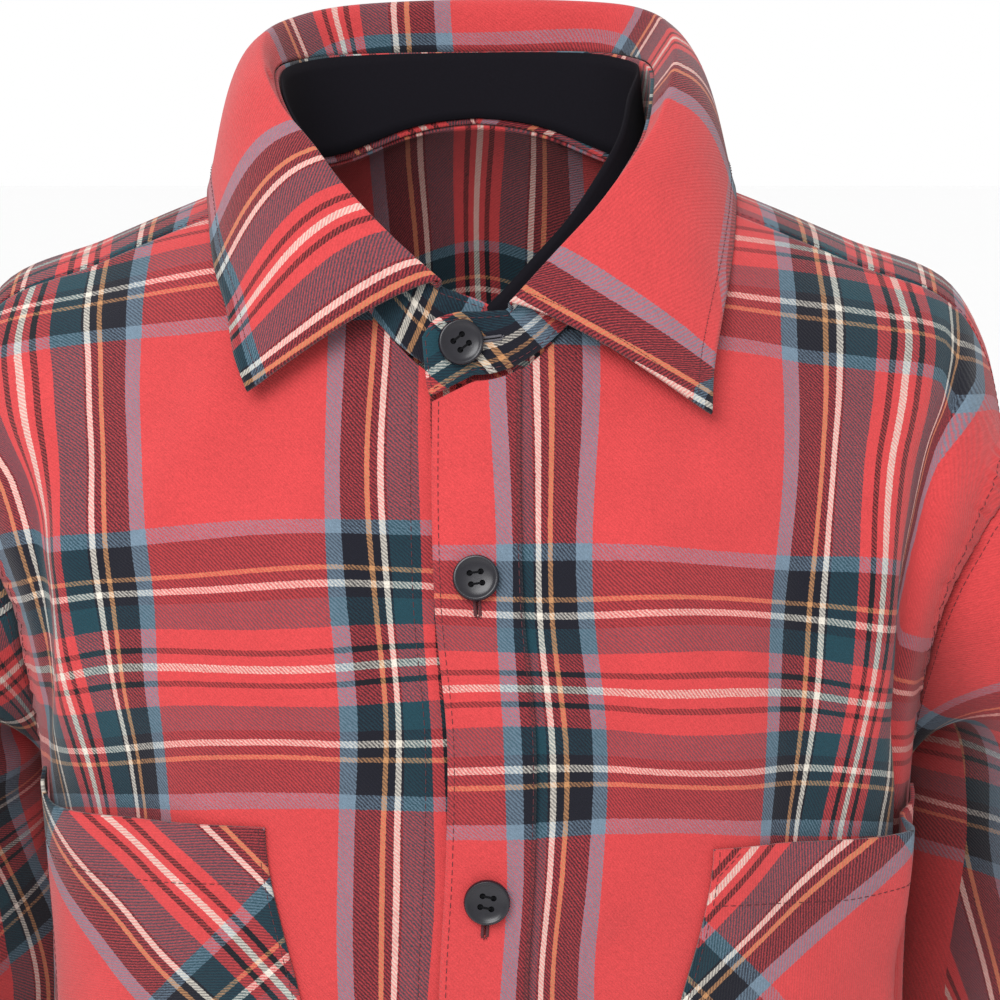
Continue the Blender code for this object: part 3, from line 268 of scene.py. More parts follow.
def bodyForm(run, climb):
    out, drop, ahead = np.abs(run), climb**2, climb > 0
    depth = np.where(ahead, section("frontDepth", climb), section("backDepth", climb))
    sloping = 1 - fade(drop / hem["levelBelow"])
    lineOut = smoothThrough(shoulderLine["run"], shoulderLine["out"], out)
    lineUp = smoothThrough(shoulderLine["run"], shoulderLine["up"], out)
    levelRun = out * (1 - sloping) + lineOut * sloping
    x, y, _ = sectionPoint(levelRun, section("halfWidth", climb), depth, section("squareness", climb))
    nape = fade(drop / neck["dropBack"]) * (1 - fade((drop - neck["napeFrom"]) / neck["napeFade"]))
    nape = nape * neck["napeRise"] * np.exp(-((out / neck["napeHalf"]) ** 2))
    sway = smoothThrough(frontSway["drop"], frontSway["left"], drop)
    sway = sway * np.exp(-((run / frontSway["half"]) ** 2))
    up = lineUp * sloping - drop + np.where(ahead, 0, nape)
    return np.stack([np.sign(run) * x + np.where(ahead, sway, 0), np.where(ahead, -y, y), up], axis=-1)


def sideRun(drop, where):
    climb = np.sqrt(np.atleast_1d(np.asarray(drop, float)))
    columns = [section(c, climb) for c in ("halfWidth", where + "Depth", "squareness")]
    return sectionPoint(np.full(len(climb), 1.0), *columns)[2]


def ridges(folds, along, down, reach=(1.0, 1.0)):
    out = np.zeros_like(along)
    for a0, a1, b0, b1, wide, deep in folds:
        span = np.array([b0 - a0, b1 - a1]) * reach
        x, y = (along - a0) * reach[0], (down - a1) * reach[1]
        t = (x * span[0] + y * span[1]) / span.dot(span)
        aside = np.hypot(x - t * span[0], y - t * span[1])
        ends = fade(t / foldEdges["ends"]) * fade((1 - t) / foldEdges["ends"])
        out += deep * ends * np.exp(-((aside / wide) ** 2))
    return out


def tuckAt(run, drop, hand):
    # how far past the fold a place is, and how much of the fold there is at this height
    tuck = tucks[hand]
    past = hand * run - smoothThrough(tuck["drop"], tuck["run"], drop)
    return past, np.interp(drop, tuck["drop"], tuck["share"])


def tuckFold(run, drop):
    depth = 0.0
    for hand, tuck in tucks.items():
        past, share = tuckAt(run, drop, hand)
        valley = np.exp(-((past / tuckShape["wide"]) ** 2))
        ridge = np.exp(-(((past + tuckShape["ridgeAside"]) / tuckShape["ridgeWide"]) ** 2))
        depth = depth + tuck["deep"] * share * (valley + tuckShape["ridgeShare"] * ridge)
    return depth


def tuckSkip(run, drop, hand):
    past, share = tuckAt(run, drop, hand)
    skipped = share * fade(past / tuckShape["turn"] + 0.5)
    return [skip * skipped for skip in tucks[hand]["skip"]]


def bodyFolds(run, climb):
    drop, out, ahead = climb**2, np.abs(run), climb > 0
    aside = np.where(run < 0, foldEdges["aside"], 0.0)  # the two halves don't fold alike
    front = ridges(frontFolds, out + aside, drop)
    back = ridges(backFolds, out + foldEdges["asideBack"] * aside, drop)
    inside = np.where(ahead, sideRun(drop, "front"), sideRun(drop, "back")) - out
    calm = fade(inside / foldEdges["side"]) * fade(out / foldEdges["centre"] + ~ahead)
    fine = np.where(ahead, ridges(frontCreases, run, drop), ridges(backCreases, run, drop))
    fine = fine * fade(inside / foldEdges["fine"])
    return np.where(ahead, front, back) * calm + fine + np.where(ahead, tuckFold(run, drop), 0)


def lifted(form, a, b, lift):
    nudge = cloth["nudge"]
    along = form(a + nudge, b) - form(a - nudge, b)
    across = form(a, b + nudge) - form(a, b - nudge)
    normal = np.cross(across, along)
    normal /= np.maximum(np.linalg.norm(normal, axis=1), 1e-12)[:, None]
    return form(a, b) + normal * np.reshape(lift, (-1, 1))


def onBody(run, climb, lift=0.0):
    given = [np.atleast_1d(v).astype(float) for v in (run, climb, lift)]
    run, climb, lift = np.broadcast_arrays(*given)
    return lifted(bodyForm, run, climb, lift + bodyFolds(run, climb))


def necklineDrop(run, drop):
    curved = drop * (1 - (np.maximum(run, 0) / neck["half"]) ** 2)
    return curved - np.minimum(run, 0) * neck["slant"]


def hemDrop(share):
    return hem["side"] + (hem["centre"] - hem["side"]) * np.cos(np.clip(share, 0, 1) * math.pi / 2) ** 1.5


def edgeRun(drop, where):
    drop = np.atleast_1d(np.asarray(drop, float))
    threadShadeFills = armhole["drop"] + (hem["underarm"],)
    values = armhole[where] + (sideRun(hem["underarm"], where)[0],)
    return np.where(drop < hem["underarm"], smoothThrough(threadShadeFills, values, drop), sideRun(drop, where))


def seamRun(drop, where):
    # the armhole's or the side's edge, less half of the gap between the pieces
    return edgeRun(drop, where) - cloth["gap"] / 2


def lapLift(run, drop, plies):
    room = lap["room"] + lap["neckRoom"] * (1 - fade((drop - lap["neckFrom"]) / lap["neckFade"]))
    inside = 1 - fade((run - lap["overlap"] - lap["past"]) / lap["pastFade"])
    return plies * (cloth["layer"] + room) * inside


# the cut cloth: how far along and down the bolt a place on the body lies
drape = {
    "drop": (0.0, 0.03, 0.045, 0.065, 0.09, 0.107, 0.13, 0.15, 0.19, 0.2225, 0.235, 0.30, 0.70),
    "ease": (-0.04, -0.06, -0.05, -0.034, -0.003, 0.016, 0.04, 0.062, 0.092, 0.135, 0.155, 0.16, 0.15),
    "half": 0.16, "power": 1.2, "levelDrop": 0.16, "levelSide": 0.17, "widest": 0.27,
}
bodyRuns = np.linspace(0, drape["widest"], samples["runs"])
bodyClimbs = np.linspace(0, math.sqrt(bodySections["drop"][-1]), samples["climbs"])


def bodyLengths(sign):
    # the cloth's length down each column of the worn form
    rows = []
    for run in bodyRuns:
        climbs = sign * np.maximum(bodyClimbs, 1e-6)
        rows.append(lengthAlong(bodyForm(np.full_like(climbs, run), climbs)))
    return np.array(rows)


lengthsDown = {1: bodyLengths(1), -1: bodyLengths(-1)}


def columnLength(run, climb, sign):
    a = np.clip(np.abs(run) / bodyRuns[1], 0, len(bodyRuns) - 1.001)
    b = np.clip(np.abs(climb) / bodyClimbs[1], 0, len(bodyClimbs) - 1.001)
    i, j = a.astype(int), b.astype(int)
    s, t = a - i, b - j
    table = lengthsDown[sign]
    return ((1 - s) * (1 - t) * table[i, j] + s * (1 - t) * table[i + 1, j]
            + (1 - s) * t * table[i, j + 1] + s * t * table[i + 1, j + 1])


def clothDown(run, climb, sign, level=1.0):
    # level 1 for a weft that stays level, 0 for one that follows the shoulder
    length = columnLength(run, climb, sign)
    slope = smoothThrough(shoulderLine["run"], shoulderLine["up"], np.abs(run))
    if sign > 0 or level == 0:
        return length - level * slope
    # behind, the nape's extra length is left out
    at, beside = math.sqrt(drape["levelDrop"]), np.full_like(run, drape["levelSide"])
    heights = [bodyForm(place, np.full_like(run, -at))[:, 2] for place in (np.abs(run), beside)]
    sideSlope = smoothThrough(shoulderLine["run"], shoulderLine["up"], beside)
    start = columnLength(beside, np.full_like(run, at), sign) - sideSlope + heights[1] - heights[0]
    return start + length - columnLength(run, np.full_like(run, at), sign)


def clothAlong(run, drop):
    ease = smoothThrough(drape["drop"], drape["ease"], drop)
    return run * (1 + ease * (np.abs(run) / drape["half"]) ** drape["power"])


# materials
# both setts have the same order of stripes, from the middle of the white line outwards, in millimetres
stripes = ("white", "red", "black", "red", "green", "navy", "white", "navy", "gold", "navy", "azure",
           "red")
warpSett = {"from": (0, 1.05, 3.6, 5.5, 9.9, 20.1, 21.1, 23.4, 26.0, 27.8, 37.1, 43.0), "half": 77.9}
weftSett = {"from": (0, 1.15, 4.6, 6.8, 13.7, 23.0, 26.6, 28.75, 32.3, 34.1, 46.05, 51.55), "half": 88.65}
weave = {
    "twill": 0.00152, "warpShare": 0.60, "rib": 0.23, "mixing": 1.55, "display": 2.2, "waver": 0.0007,
    "waverScale": 900.0, "fibreScale": 1500.0, "fibreShare": 0.8, "fibreTone": 0.60, "patchScale": 45.0,
    "patchTone": 0.16, "napScale": 520.0, "napTone": 0.36, "paintedRibShade": 0.035, "waveHigh": 0.3,
    "fibreHigh": 0.9, "shift": (3.7, 1.9, 0), "bump": (0.5, 0.0004),
}
yarns = {  # display values of the dyed yarns
    "red": (0.664, 0.218, 0.224), "azure": (0.36, 0.425, 0.48), "navy": (0.07, 0.072, 0.11),
    "green": (0.088, 0.205, 0.24), "white": (0.73, 0.705, 0.66), "gold": (0.62, 0.445, 0.30),
    "black": (0.062, 0.055, 0.072),
}


def link(tree, a, b):
    tree.links.new(a, b)


def mathNode(tree, kind, *values, clamp=False):
    node = tree.nodes.new("ShaderNodeMath")
    node.operation = kind
    node.use_clamp = clamp
    for socket, value in zip(node.inputs, values):
        if isinstance(value, (int, float)):
            socket.default_value = value
        else:
            link(tree, value, socket)
    return node.outputs[0]


def spread(tree, value, width, middle=0.0):
    # a value from 0 to 1, spread over a width about its middle
    return mathNode(tree, "MULTIPLY_ADD", value, width, middle - width / 2)


def noiseNode(tree, vector, scale, detail=2.0, rough=0.5):
    node = tree.nodes.new("ShaderNodeTexNoise")
    node.inputs["Scale"].default_value = scale
    node.inputs["Detail"].default_value = detail
    node.inputs["Roughness"].default_value = rough
    link(tree, vector, node.inputs["Vector"])
    return node.outputs["Fac"]


def settRamp(tree, at, sett):
    folded = mathNode(tree, "PINGPONG", at, sett["half"] / 1000)
    share = mathNode(tree, "DIVIDE", folded, sett["half"] / 1000)
    ramp = tree.nodes.new("ShaderNodeValToRGB")
    ramp.color_ramp.interpolation = "CONSTANT"
    stops = ramp.color_ramp.elements
    for i, (start, yarn) in enumerate(zip(sett["from"], stripes)):
        if i > 1:
            stops.new(start / sett["half"])
        stops[i].position = start / sett["half"]
        stops[i].color = (*(value ** weave["mixing"] for value in yarns[yarn]), 1)
    link(tree, share, ramp.inputs["Fac"])
    return ramp.outputs["Color"]


def tartanGroup():
    group = bpy.data.node_groups.new("tartan", "ShaderNodeTree")
    for name, way, kind in (("Cloth", "INPUT", "Vector"), ("Color", "OUTPUT", "Color"),
                            ("Height", "OUTPUT", "Float")):
        group.interface.new_socket(name, in_out=way, socket_type="NodeSocket" + kind)
    enter, leave = group.nodes.new("NodeGroupInput"), group.nodes.new("NodeGroupOutput")
    laid = enter.outputs["Cloth"]
    split = group.nodes.new("ShaderNodeSeparateXYZ")
    link(group, laid, split.inputs[0])
    shifted = group.nodes.new("ShaderNodeVectorMath")
    shifted.operation = "ADD"
    shifted.inputs[1].default_value = weave["shift"]
    link(group, laid, shifted.inputs[0])
    wavering = []
    for axis, place in (("X", laid), ("Y", shifted.outputs[0])):
        waver = spread(group, noiseNode(group, place, weave["waverScale"], 1.0), weave["waver"])
        wavering.append(mathNode(group, "ADD", split.outputs[axis], waver))
    u, v = wavering
    # twill ribs and fibres decide how much of the warp and of the weft shows
    diagonal = mathNode(group, "MULTIPLY", mathNode(group, "SUBTRACT", u, v), 2 * math.pi / weave["twill"])
    wave = mathNode(group, "SINE", diagonal)
    fibres = noiseNode(group, laid, weave["fibreScale"], 3.0, 0.75)
    rib = mathNode(group, "MULTIPLY", wave, weave["rib"])
    rib = mathNode(group, "ADD", rib, spread(group, fibres, weave["fibreShare"]))
    share = mathNode(group, "ADD", rib, 1 - weave["warpShare"], clamp=True)
    woven = group.nodes.new("ShaderNodeMix")
    woven.data_type = "RGBA"
    link(group, share, woven.inputs["Factor"])
    link(group, settRamp(group, u, warpSett), woven.inputs[6])
    link(group, settRamp(group, v, weftSett), woven.inputs[7])
    # uneven tone from worn patches, single fibres and nap, and painted shade along the twill ribs
    tone = spread(group, noiseNode(group, laid, weave["patchScale"], 3.0), weave["patchTone"], 1.0)
    nap = noiseNode(group, laid, weave["napScale"], 4.0, 0.75)
    tone = mathNode(group, "ADD", tone, spread(group, fibres, weave["fibreTone"]))
    tone = mathNode(group, "ADD", tone, spread(group, nap, weave["napTone"]))
    # painted shade: the colour darkens along each twill rib, in step with the ribs' bump
    tone = mathNode(group, "ADD", tone, mathNode(group, "MULTIPLY", wave, weave["paintedRibShade"]))
    shaded = group.nodes.new("ShaderNodeVectorMath")
    shaded.operation = "SCALE"
    link(group, woven.outputs[2], shaded.inputs[0])
    link(group, tone, shaded.inputs["Scale"])
    dyed = group.nodes.new("ShaderNodeGamma")
    dyed.inputs["Gamma"].default_value = weave["display"] / weave["mixing"]
    link(group, shaded.outputs[0], dyed.inputs["Color"])
    link(group, dyed.outputs[0], leave.inputs["Color"])
    height = mathNode(group, "MULTIPLY_ADD", wave, weave["waveHigh"], 0.5)
    height = mathNode(group, "ADD", height, mathNode(group, "MULTIPLY", fibres, weave["fibreHigh"]))
    link(group, height, leave.inputs["Height"])
    return group


def newMaterial(name):
    material = bpy.data.materials.new(name)
    material.use_nodes = True
    return material, material.node_tree, material.node_tree.nodes["Principled BSDF"]


def bumped(tree, height, strength, distance):
    bump = tree.nodes.new("ShaderNodeBump")
    bump.inputs["Strength"].default_value = strength
    bump.inputs["Distance"].default_value = distance
    link(tree, height, bump.inputs["Height"])
    link(tree, bump.outputs[0], tree.nodes["Principled BSDF"].inputs["Normal"])


flannelLook = {"Roughness": 0.92, "Specular IOR Level": 0.18, "Sheen Weight": 0.12, "Sheen Roughness": 0.55}


def flannelMaterial():
    material, tree, shader = newMaterial("flannel")
    laid = tree.nodes.new("ShaderNodeUVMap")
    laid.uv_map = "cloth"
    group = tree.nodes.new("ShaderNodeGroup")
    group.node_tree = tartanGroup()
    link(tree, laid.outputs[0], group.inputs["Cloth"])
    link(tree, group.outputs["Color"], shader.inputs["Base Color"])
    bumped(tree, group.outputs["Height"], *weave["bump"])
    for name, value in flannelLook.items():
        shader.inputs[name].default_value = value
    return material


plainLooks = {
    # the lining is black cloth, painted darker still with the shade that falls inside the neck
    "lining": {"colour": (0.0034, 0.0028, 0.005), "rough": 0.9, "grain": 1400.0, "deep": 0.0002,
               "shine": 0.12},
    "darkThread": {"colour": (0.060, 0.008, 0.012), "rough": 0.8, "grain": 2500.0, "deep": 0.0001},
    "greyThread": {"colour": (0.075, 0.072, 0.085), "rough": 0.7, "grain": 2500.0, "deep": 0.0001},
    # black thread for the buttons, also used as painted shade in the buttonholes' slits and inside the
    # buttons' holes
    "blackThreadAndShade": {"colour": (0.004, 0.004, 0.005), "rough": 0.95, "grain": 2500.0, "deep": 0.0001,
                    "shine": 0.12},
    "buttonPlastic": {"colour": (0.007, 0.0065, 0.010), "rough": 0.31, "grain": 700.0, "deep": 0.00003,
                      "shine": 0.36},
}
uneven = {"detail": 3.0, "tones": (0.7, 1.3), "bump": 0.4}


def plainMaterial(name, colour, rough, grain, deep, shine=0.5):
    # one dyed colour with fine unevenness and a bump of its own
    material, tree, shader = newMaterial(name)
    fine = noiseNode(tree, tree.nodes.new("ShaderNodeTexCoord").outputs["Object"], grain, uneven["detail"])
    ramp = tree.nodes.new("ShaderNodeValToRGB")
    for stop, share in zip(ramp.color_ramp.elements, uneven["tones"]):
        stop.color = (*(share * c for c in colour), 1)
    link(tree, fine, ramp.inputs["Fac"])
    link(tree, ramp.outputs["Color"], shader.inputs["Base Color"])
    bumped(tree, fine, uneven["bump"], deep)
    shader.inputs["Roughness"].default_value = rough
    shader.inputs["Specular IOR Level"].default_value = shine
    return material


flannel = flannelMaterial()
lining, darkThread, greyThread, blackThreadAndShade, plastic = (
    plainMaterial(name, **look) for name, look in plainLooks.items())
print("materials made")


def gridLengths(points, columns, rows, across, down):
    # distances along each row and down each column of a grid of points
    i, j = np.rint(down * rows).astype(int), np.rint(across * columns).astype(int)
    grid = np.zeros((rows + 1, columns + 1, 3))
    grid[i, j] = points
    along = np.zeros((rows + 1, columns + 1))
    along[:, 1:] = np.cumsum(np.linalg.norm(np.diff(grid, axis=1), axis=2), axis=1)
    deep = np.zeros((rows + 1, columns + 1))
    deep[1:] = np.cumsum(np.linalg.norm(np.diff(grid, axis=0), axis=2), axis=0)
    return along, deep, i, j


wander = {
    "reach": 0.0009, "second": 0.6,
    "u": (71.0, 47.0, 0.6, 103.0, -38.0, 2.1), "v": (53.0, -66.0, 1.7, 31.0, 97.0, 0.4),
}


def wandered(u, v, aside):
    # the grain never lies quite straight in a worn shirt
    shifts = []
    for key in ("u", "v"):
        a, b, c, d, e, f = wander[key]
        x = u + aside
        wave = np.sin(a * x + b * v + c) + wander["second"] * np.sin(d * x + e * v + f)
        shifts.append(wander["reach"] * wave)
    return u + shifts[0], v + shifts[1]


def turned(u, v, degrees):
    c, s = math.cos(math.radians(degrees)), math.sin(math.radians(degrees))
    return u * c - v * s, u * s + v * c


def addObject(name, data):
    piece = bpy.data.objects.new(name, data)
    bpy.context.scene.collection.objects.link(piece)
    return piece


def fromBmesh(name, mesh):
    data = bpy.data.meshes.new(name)
    mesh.to_mesh(data)
    mesh.free()
    return addObject(name, data)


def clothPiece(name, node, columns, rows, place, flat, area=None, wall=None, flip=False, tube=False,
               held="hung", on=(), slot="flannel", material=None, aside=0.0):
    mesh = bmesh.new()
    bmesh.ops.create_grid(mesh, x_segments=columns, y_segments=rows, size=0.5)
    across = np.array([v.co.x + 0.5 for v in mesh.verts])
    down = np.array([0.5 - v.co.y for v in mesh.verts])
    points, u, v = place(across, down)
    u, v = wandered(u, v, aside)
    for vertex, point in zip(mesh.verts, points):
        vertex.co = point
    layer = mesh.loops.layers.uv.new("cloth")
    for face in mesh.faces:
        for corner in face.loops:
            at = corner.vert.index
            corner[layer].uv = (u[at], v[at])
    if flip:
        bmesh.ops.reverse_faces(mesh, faces=mesh.faces)
    if tube:
        bmesh.ops.remove_doubles(mesh, verts=mesh.verts, dist=1e-5)
    piece = fromBmesh(name, mesh)
    piece.data.shade_smooth()
    piece.data.materials.append(material or flannel)
    thicken = piece.modifiers.new("Wall", "SOLIDIFY")
    thicken.thickness = wall or cloth["wall"]
    thicken.offset = -1
    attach(piece, "root")
    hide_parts(node)


# fronts and button band
allowance = {
    "wide": 0.009, "edge": 0.003, "high": 0.0010, "pucker": 0.00045, "waves": (0.0113, 0.0074),
    "seamAt": 0.0072, "seamHalf": 0.0063, "puckerTo": 0.235, "fade": 0.02,
}


def armholeLift(run, drop, where):
    # the turned-in edge beside the armhole seam stands up a little and is puckered by its stitching
    inside = edgeRun(drop, where) - np.abs(run)
    band = 1 - fade((inside - allowance["wide"]) / allowance["edge"])
    band = band * fade((hem["underarm"] - drop) / allowance["fade"])
    wave = sum(np.sin(2 * math.pi * drop / length + 3 * k) for k, length in enumerate(allowance["waves"]))
    ripple = np.exp(-(((inside - allowance["seamAt"]) / allowance["seamHalf"]) ** 2))
    ripple = ripple * fade((allowance["puckerTo"] - drop) / allowance["fade"])
    return allowance["high"] * band + allowance["pucker"] * wave * ripple


frontShape = {
    "level": 0.175, "levelShare": 0.30, "columns": 124, "rows": 216, "flat": (0.275, 0.76), "area": 0.172,
    "pivotRight": (-0.0097, 0.2256), "pivotLeft": (0.0, 0.2351), "bandPivot": 0.0493, "bandColumns": 12,
    "bandFlat": (0.0318, 0.64),
}
rowEase = 1.3  # the rows lie closer together near the neck
sides = (("Left", 1), ("Right", -1))  # the wearer's, with the sign of x there


def rowDrop(down, top, bottom, level, share, last):
    t = np.clip(down / share, 0, 1)
    low = np.clip((down - share) / (1 - share), 0, 1)
    upper = top + (level - top) * t**rowEase
    lower = level + (last - level) * low + (bottom - last) * low**2
    return np.where(down < share, upper, lower)


cornerRun = neck["half"] * math.sqrt(1 - neck["yokeForward"] / neck["dropFront"])
tipRun = seamRun(neck["yokeForward"], "front")[0]


def frontPlace(start, down):
    top = np.maximum(necklineDrop(start, neck["dropFront"]), neck["yokeForward"]) + cloth["gap"] / 2
    bottom = hemDrop(np.abs(start) / tipRun)
    drop = rowDrop(down, top, bottom, frontShape["level"], frontShape["levelShare"], hem["side"])
    share = np.clip((start - lap["bandInner"]) / (tipRun - lap["bandInner"]), 0, 1)
    return start + share * (seamRun(drop, "front") - tipRun), drop


def front(side, hand):
    pivot = frontShape["pivot" + side]

    def place(across, down):
        start = -lap["overlap"] + (tipRun + lap["overlap"]) * across
        run, drop = frontPlace(start, down)
        lift = lapLift(run, drop, max(hand, 0)) + armholeLift(run, drop, "front")
        points = onBody(hand * run, np.sqrt(drop), lift)
        skipU, skipV = tuckSkip(hand * run, drop, hand)
        u = clothAlong(hand * run, drop) - pivot[0] + skipU
        return points, u, clothDown(run, np.sqrt(drop), 1) - pivot[1] + skipV

    clothPiece(f"front{side}Cloth", f"front_{side.lower()}", frontShape["columns"], frontShape["rows"],
               place, frontShape["flat"], area=frontShape["area"], flip=hand < 0, on=("yokeCloth",))


for side, hand in sides:
    front(side, hand)


def bandPoints(run, drop, lift=0.0):
    return onBody(run, np.sqrt(drop), lapLift(run, drop, 1) + cloth["layer"] + lift)


def bandPlace(across, down):
    start = -lap["overlap"] + (lap["overlap"] + lap["bandInner"]) * across
    run, drop = frontPlace(start, down)
    v = clothDown(run, np.sqrt(drop), 1) - frontShape["pivotLeft"][1]
    return bandPoints(run, drop), run - frontShape["bandPivot"], v


clothPiece("bandCloth", "button_band", frontShape["bandColumns"], frontShape["rows"], bandPlace,
           frontShape["bandFlat"], on=("frontLeftCloth",), aside=frontShape["bandPivot"])
print("fronts made")

# back and yoke
backShape = {
    "level": 0.195, "levelShare": 0.24, "columns": 124, "rows": 150, "gap": 0.0008, "flat": (0.56, 0.66),
    "area": 0.315, "pivot": 0.2264, "yokeColumns": 130, "yokeRows": 44, "yokeFlat": (0.50, 0.18),
    "yokeArea": 0.072, "yokePivot": 0.012, "napeShare": 0.40, "turnShare": 0.45,
}


def yokeSeamDrop(share):
    return neck["yokeBackSide"] + (neck["yokeBack"] - neck["yokeBackSide"]) * (1 - share**2)


def backPlace(across, down):
    share = 2 * across - 1
    top = yokeSeamDrop(share) + backShape["gap"] / 2
    bottom = hemDrop(np.abs(share))
    drop = rowDrop(down, top, bottom, backShape["level"], backShape["levelShare"], hem["side"])
    run = share * seamRun(drop, "back")
    v = clothDown(run, np.sqrt(drop), -1) - backShape["pivot"]
    return onBody(run, -np.sqrt(drop), armholeLift(run, drop, "back")), run, v


clothPiece("backCloth", "back", backShape["columns"], backShape["rows"], backPlace, backShape["flat"],
           area=backShape["area"], flip=True, on=("yokeCloth",))


def yokePlace(across, down):
    frontClimb = math.sqrt(neck["yokeForward"] - cloth["gap"] / 2)
    share = 2 * across - 1
    hand, far = np.sign(share), np.abs(share)
    nape, turn = backShape["napeShare"], backShape["turnShare"]
    angle = np.clip(far / nape, 0, 1) * math.pi / 2
    beside = np.clip((far - nape) / (turn - nape), 0, 1)
    ahead = np.clip((far - turn) / (1 - turn), 0, 1)
    topRun = neck["half"] * np.sin(angle) + (cornerRun - neck["half"]) * beside
    topRun = topRun + (tipRun - cornerRun) * ahead
    topClimb = -math.sqrt(neck["dropBack"]) * np.cos(angle) + frontClimb * beside
    bottomClimb = -np.sqrt(yokeSeamDrop(far) - backShape["gap"] / 2)
    bottomRun = far * seamRun(bottomClimb**2, "back")
    climb = topClimb + (bottomClimb - topClimb) * down
    run = topRun + (bottomRun - topRun) * down
    sideClimb = frontClimb - (frontClimb + math.sqrt(neck["yokeBackSide"] - backShape["gap"] / 2)) * down
    edge = np.where(sideClimb > 0, *(seamRun(sideClimb**2, where) for where in ("front", "back")))
    straight = tipRun + (seamRun(neck["yokeBackSide"], "back")[0] - tipRun) * down
    run = hand * (run + (edge - straight) * ahead**3)
    v = np.where(climb > 0, clothDown(run, climb, 1, 0.0), -clothDown(run, climb, -1, 0.0))
    return onBody(run, climb), run, v - backShape["yokePivot"]


clothPiece("yokeCloth", "yoke", backShape["yokeColumns"], backShape["yokeRows"], yokePlace,
           backShape["yokeFlat"], area=backShape["yokeArea"], flip=True, held="draped", on=("standCloth",))
print("back and yoke made")


# collar: the turned-down fall, the stand and the stand's lining
def roundCollar(right, left, share):
    # from the wearer's right end round the back to the left one
    values = list(right) + list(reversed(left))[1:]
    return smoothThrough(np.linspace(0, 1, len(values)), values, share)


def collarPlace(part, share):
    columns = []
    for axis, sign in (("Out", -1), ("Y", 1), ("Up", 1)):
        right, left = collarRight[part + axis], collarLeft[part + axis]
        columns.append(roundCollar([sign * v for v in right], left, share))
    return np.stack(columns, axis=-1)


def fallForm(across, down):
    seam, crest, edge = (collarPlace(part, across) for part in ("seam", "crest", "edge"))
    outward = (edge - crest) * np.array([1, 1, 0])
    outward /= np.linalg.norm(outward, axis=1)[:, None]
    ends = fade(np.minimum(across, 1 - across) / fallShape["endFade"])[:, None]
    half = fallShape["foldHalf"] * (fallShape["endFold"] + (1 - fallShape["endFold"]) * ends)
    below = np.array([0, 0, 1.0]) * half
    tall = crest[:, 2:] - seam[:, 2:] > fallShape["tall"] * half
    low = seam + (crest - seam) * fallShape["insideShare"]
    inside = np.where(tall, crest - outward * half - below, low)
    outside = crest + outward * half * fallShape["outsideOut"] - below * fallShape["outsideDown"]
    at, aside = fallShape["crest"], fallShape["crestHalf"]
    stacks = np.stack([seam + np.array([0, 0, cloth["gap"]]), inside, crest, outside, edge])
    point = smoothThrough((0.0, at - aside, at, at + aside, 1.0), stacks, down)
    arc = np.sin(math.pi * np.clip((down - at) / (1 - at), 0, 1))
    crown = fallShape["crown"] * arc ** fallShape["crownPower"]
    out, up = fallShape["crownLean"]
    return point + (outward * out + np.array([0, 0, up])) * crown[:, None]


fallGrid = {
    "columns": 190, "rows": 52, "flat": (0.475, 0.088), "area": 0.036, "measured": 0.63, "repeats": 3,
    "from": 0.0295, "back": 0.021, "weft": 0.0430, "bow": 0.0025, "bowLong": 0.06, "bowFrom": 0.3,
    "bowTo": 0.98, "inset": 0.0088, "insetFrom": (0.004, 0.016), "insetTo": (0.070, 0.030),
}


def fallPlace(across, down):
    points = fallForm(across, down)
    along, deep, i, j = gridLengths(points, fallGrid["columns"], fallGrid["rows"], across, down)
    middle = along[int(fallGrid["measured"] * fallGrid["rows"])]
    period = 2 * warpSett["half"] / 1000
    length = fallGrid["repeats"] * period + fallGrid["from"] - fallGrid["back"]
    u = middle[j] * length / middle[-1] - fallGrid["from"]
    # the wearer's left point is cut a little off the grain along both of its edges
    fromEnd = middle[-1] - middle[j]
    arc = np.clip((down - fallGrid["bowFrom"]) / (fallGrid["bowTo"] - fallGrid["bowFrom"]), 0, 1)
    bowed = np.sin(math.pi * arc) * fade(1 - fromEnd / fallGrid["bowLong"])
    (near, nearFade), (far, farFade) = fallGrid["insetFrom"], fallGrid["insetTo"]
    inset = fade((fromEnd - near) / nearFade) * fade((far - fromEnd) / farFade)
    v = deep[-1, j] - deep[i, j] + fallGrid["weft"] + fallGrid["inset"] * inset
    return points, u - fallGrid["bow"] * bowed, v


clothPiece("collarCloth", "collar_fall", fallGrid["columns"], fallGrid["rows"], fallPlace,
           fallGrid["flat"], area=fallGrid["area"], wall=fallShape["thick"], flip=True, held="folded",
           on=("standCloth",))


def necklinePoint(angle, hand, lift):
    run = neck["half"] * np.sin(angle)
    ahead = np.sqrt(necklineDrop(run, neck["dropFront"]))
    behind = math.sqrt(neck["dropBack"]) * np.cos(angle)
    return onBody(hand * run, np.where(np.cos(angle) > 0, ahead, behind), lift)


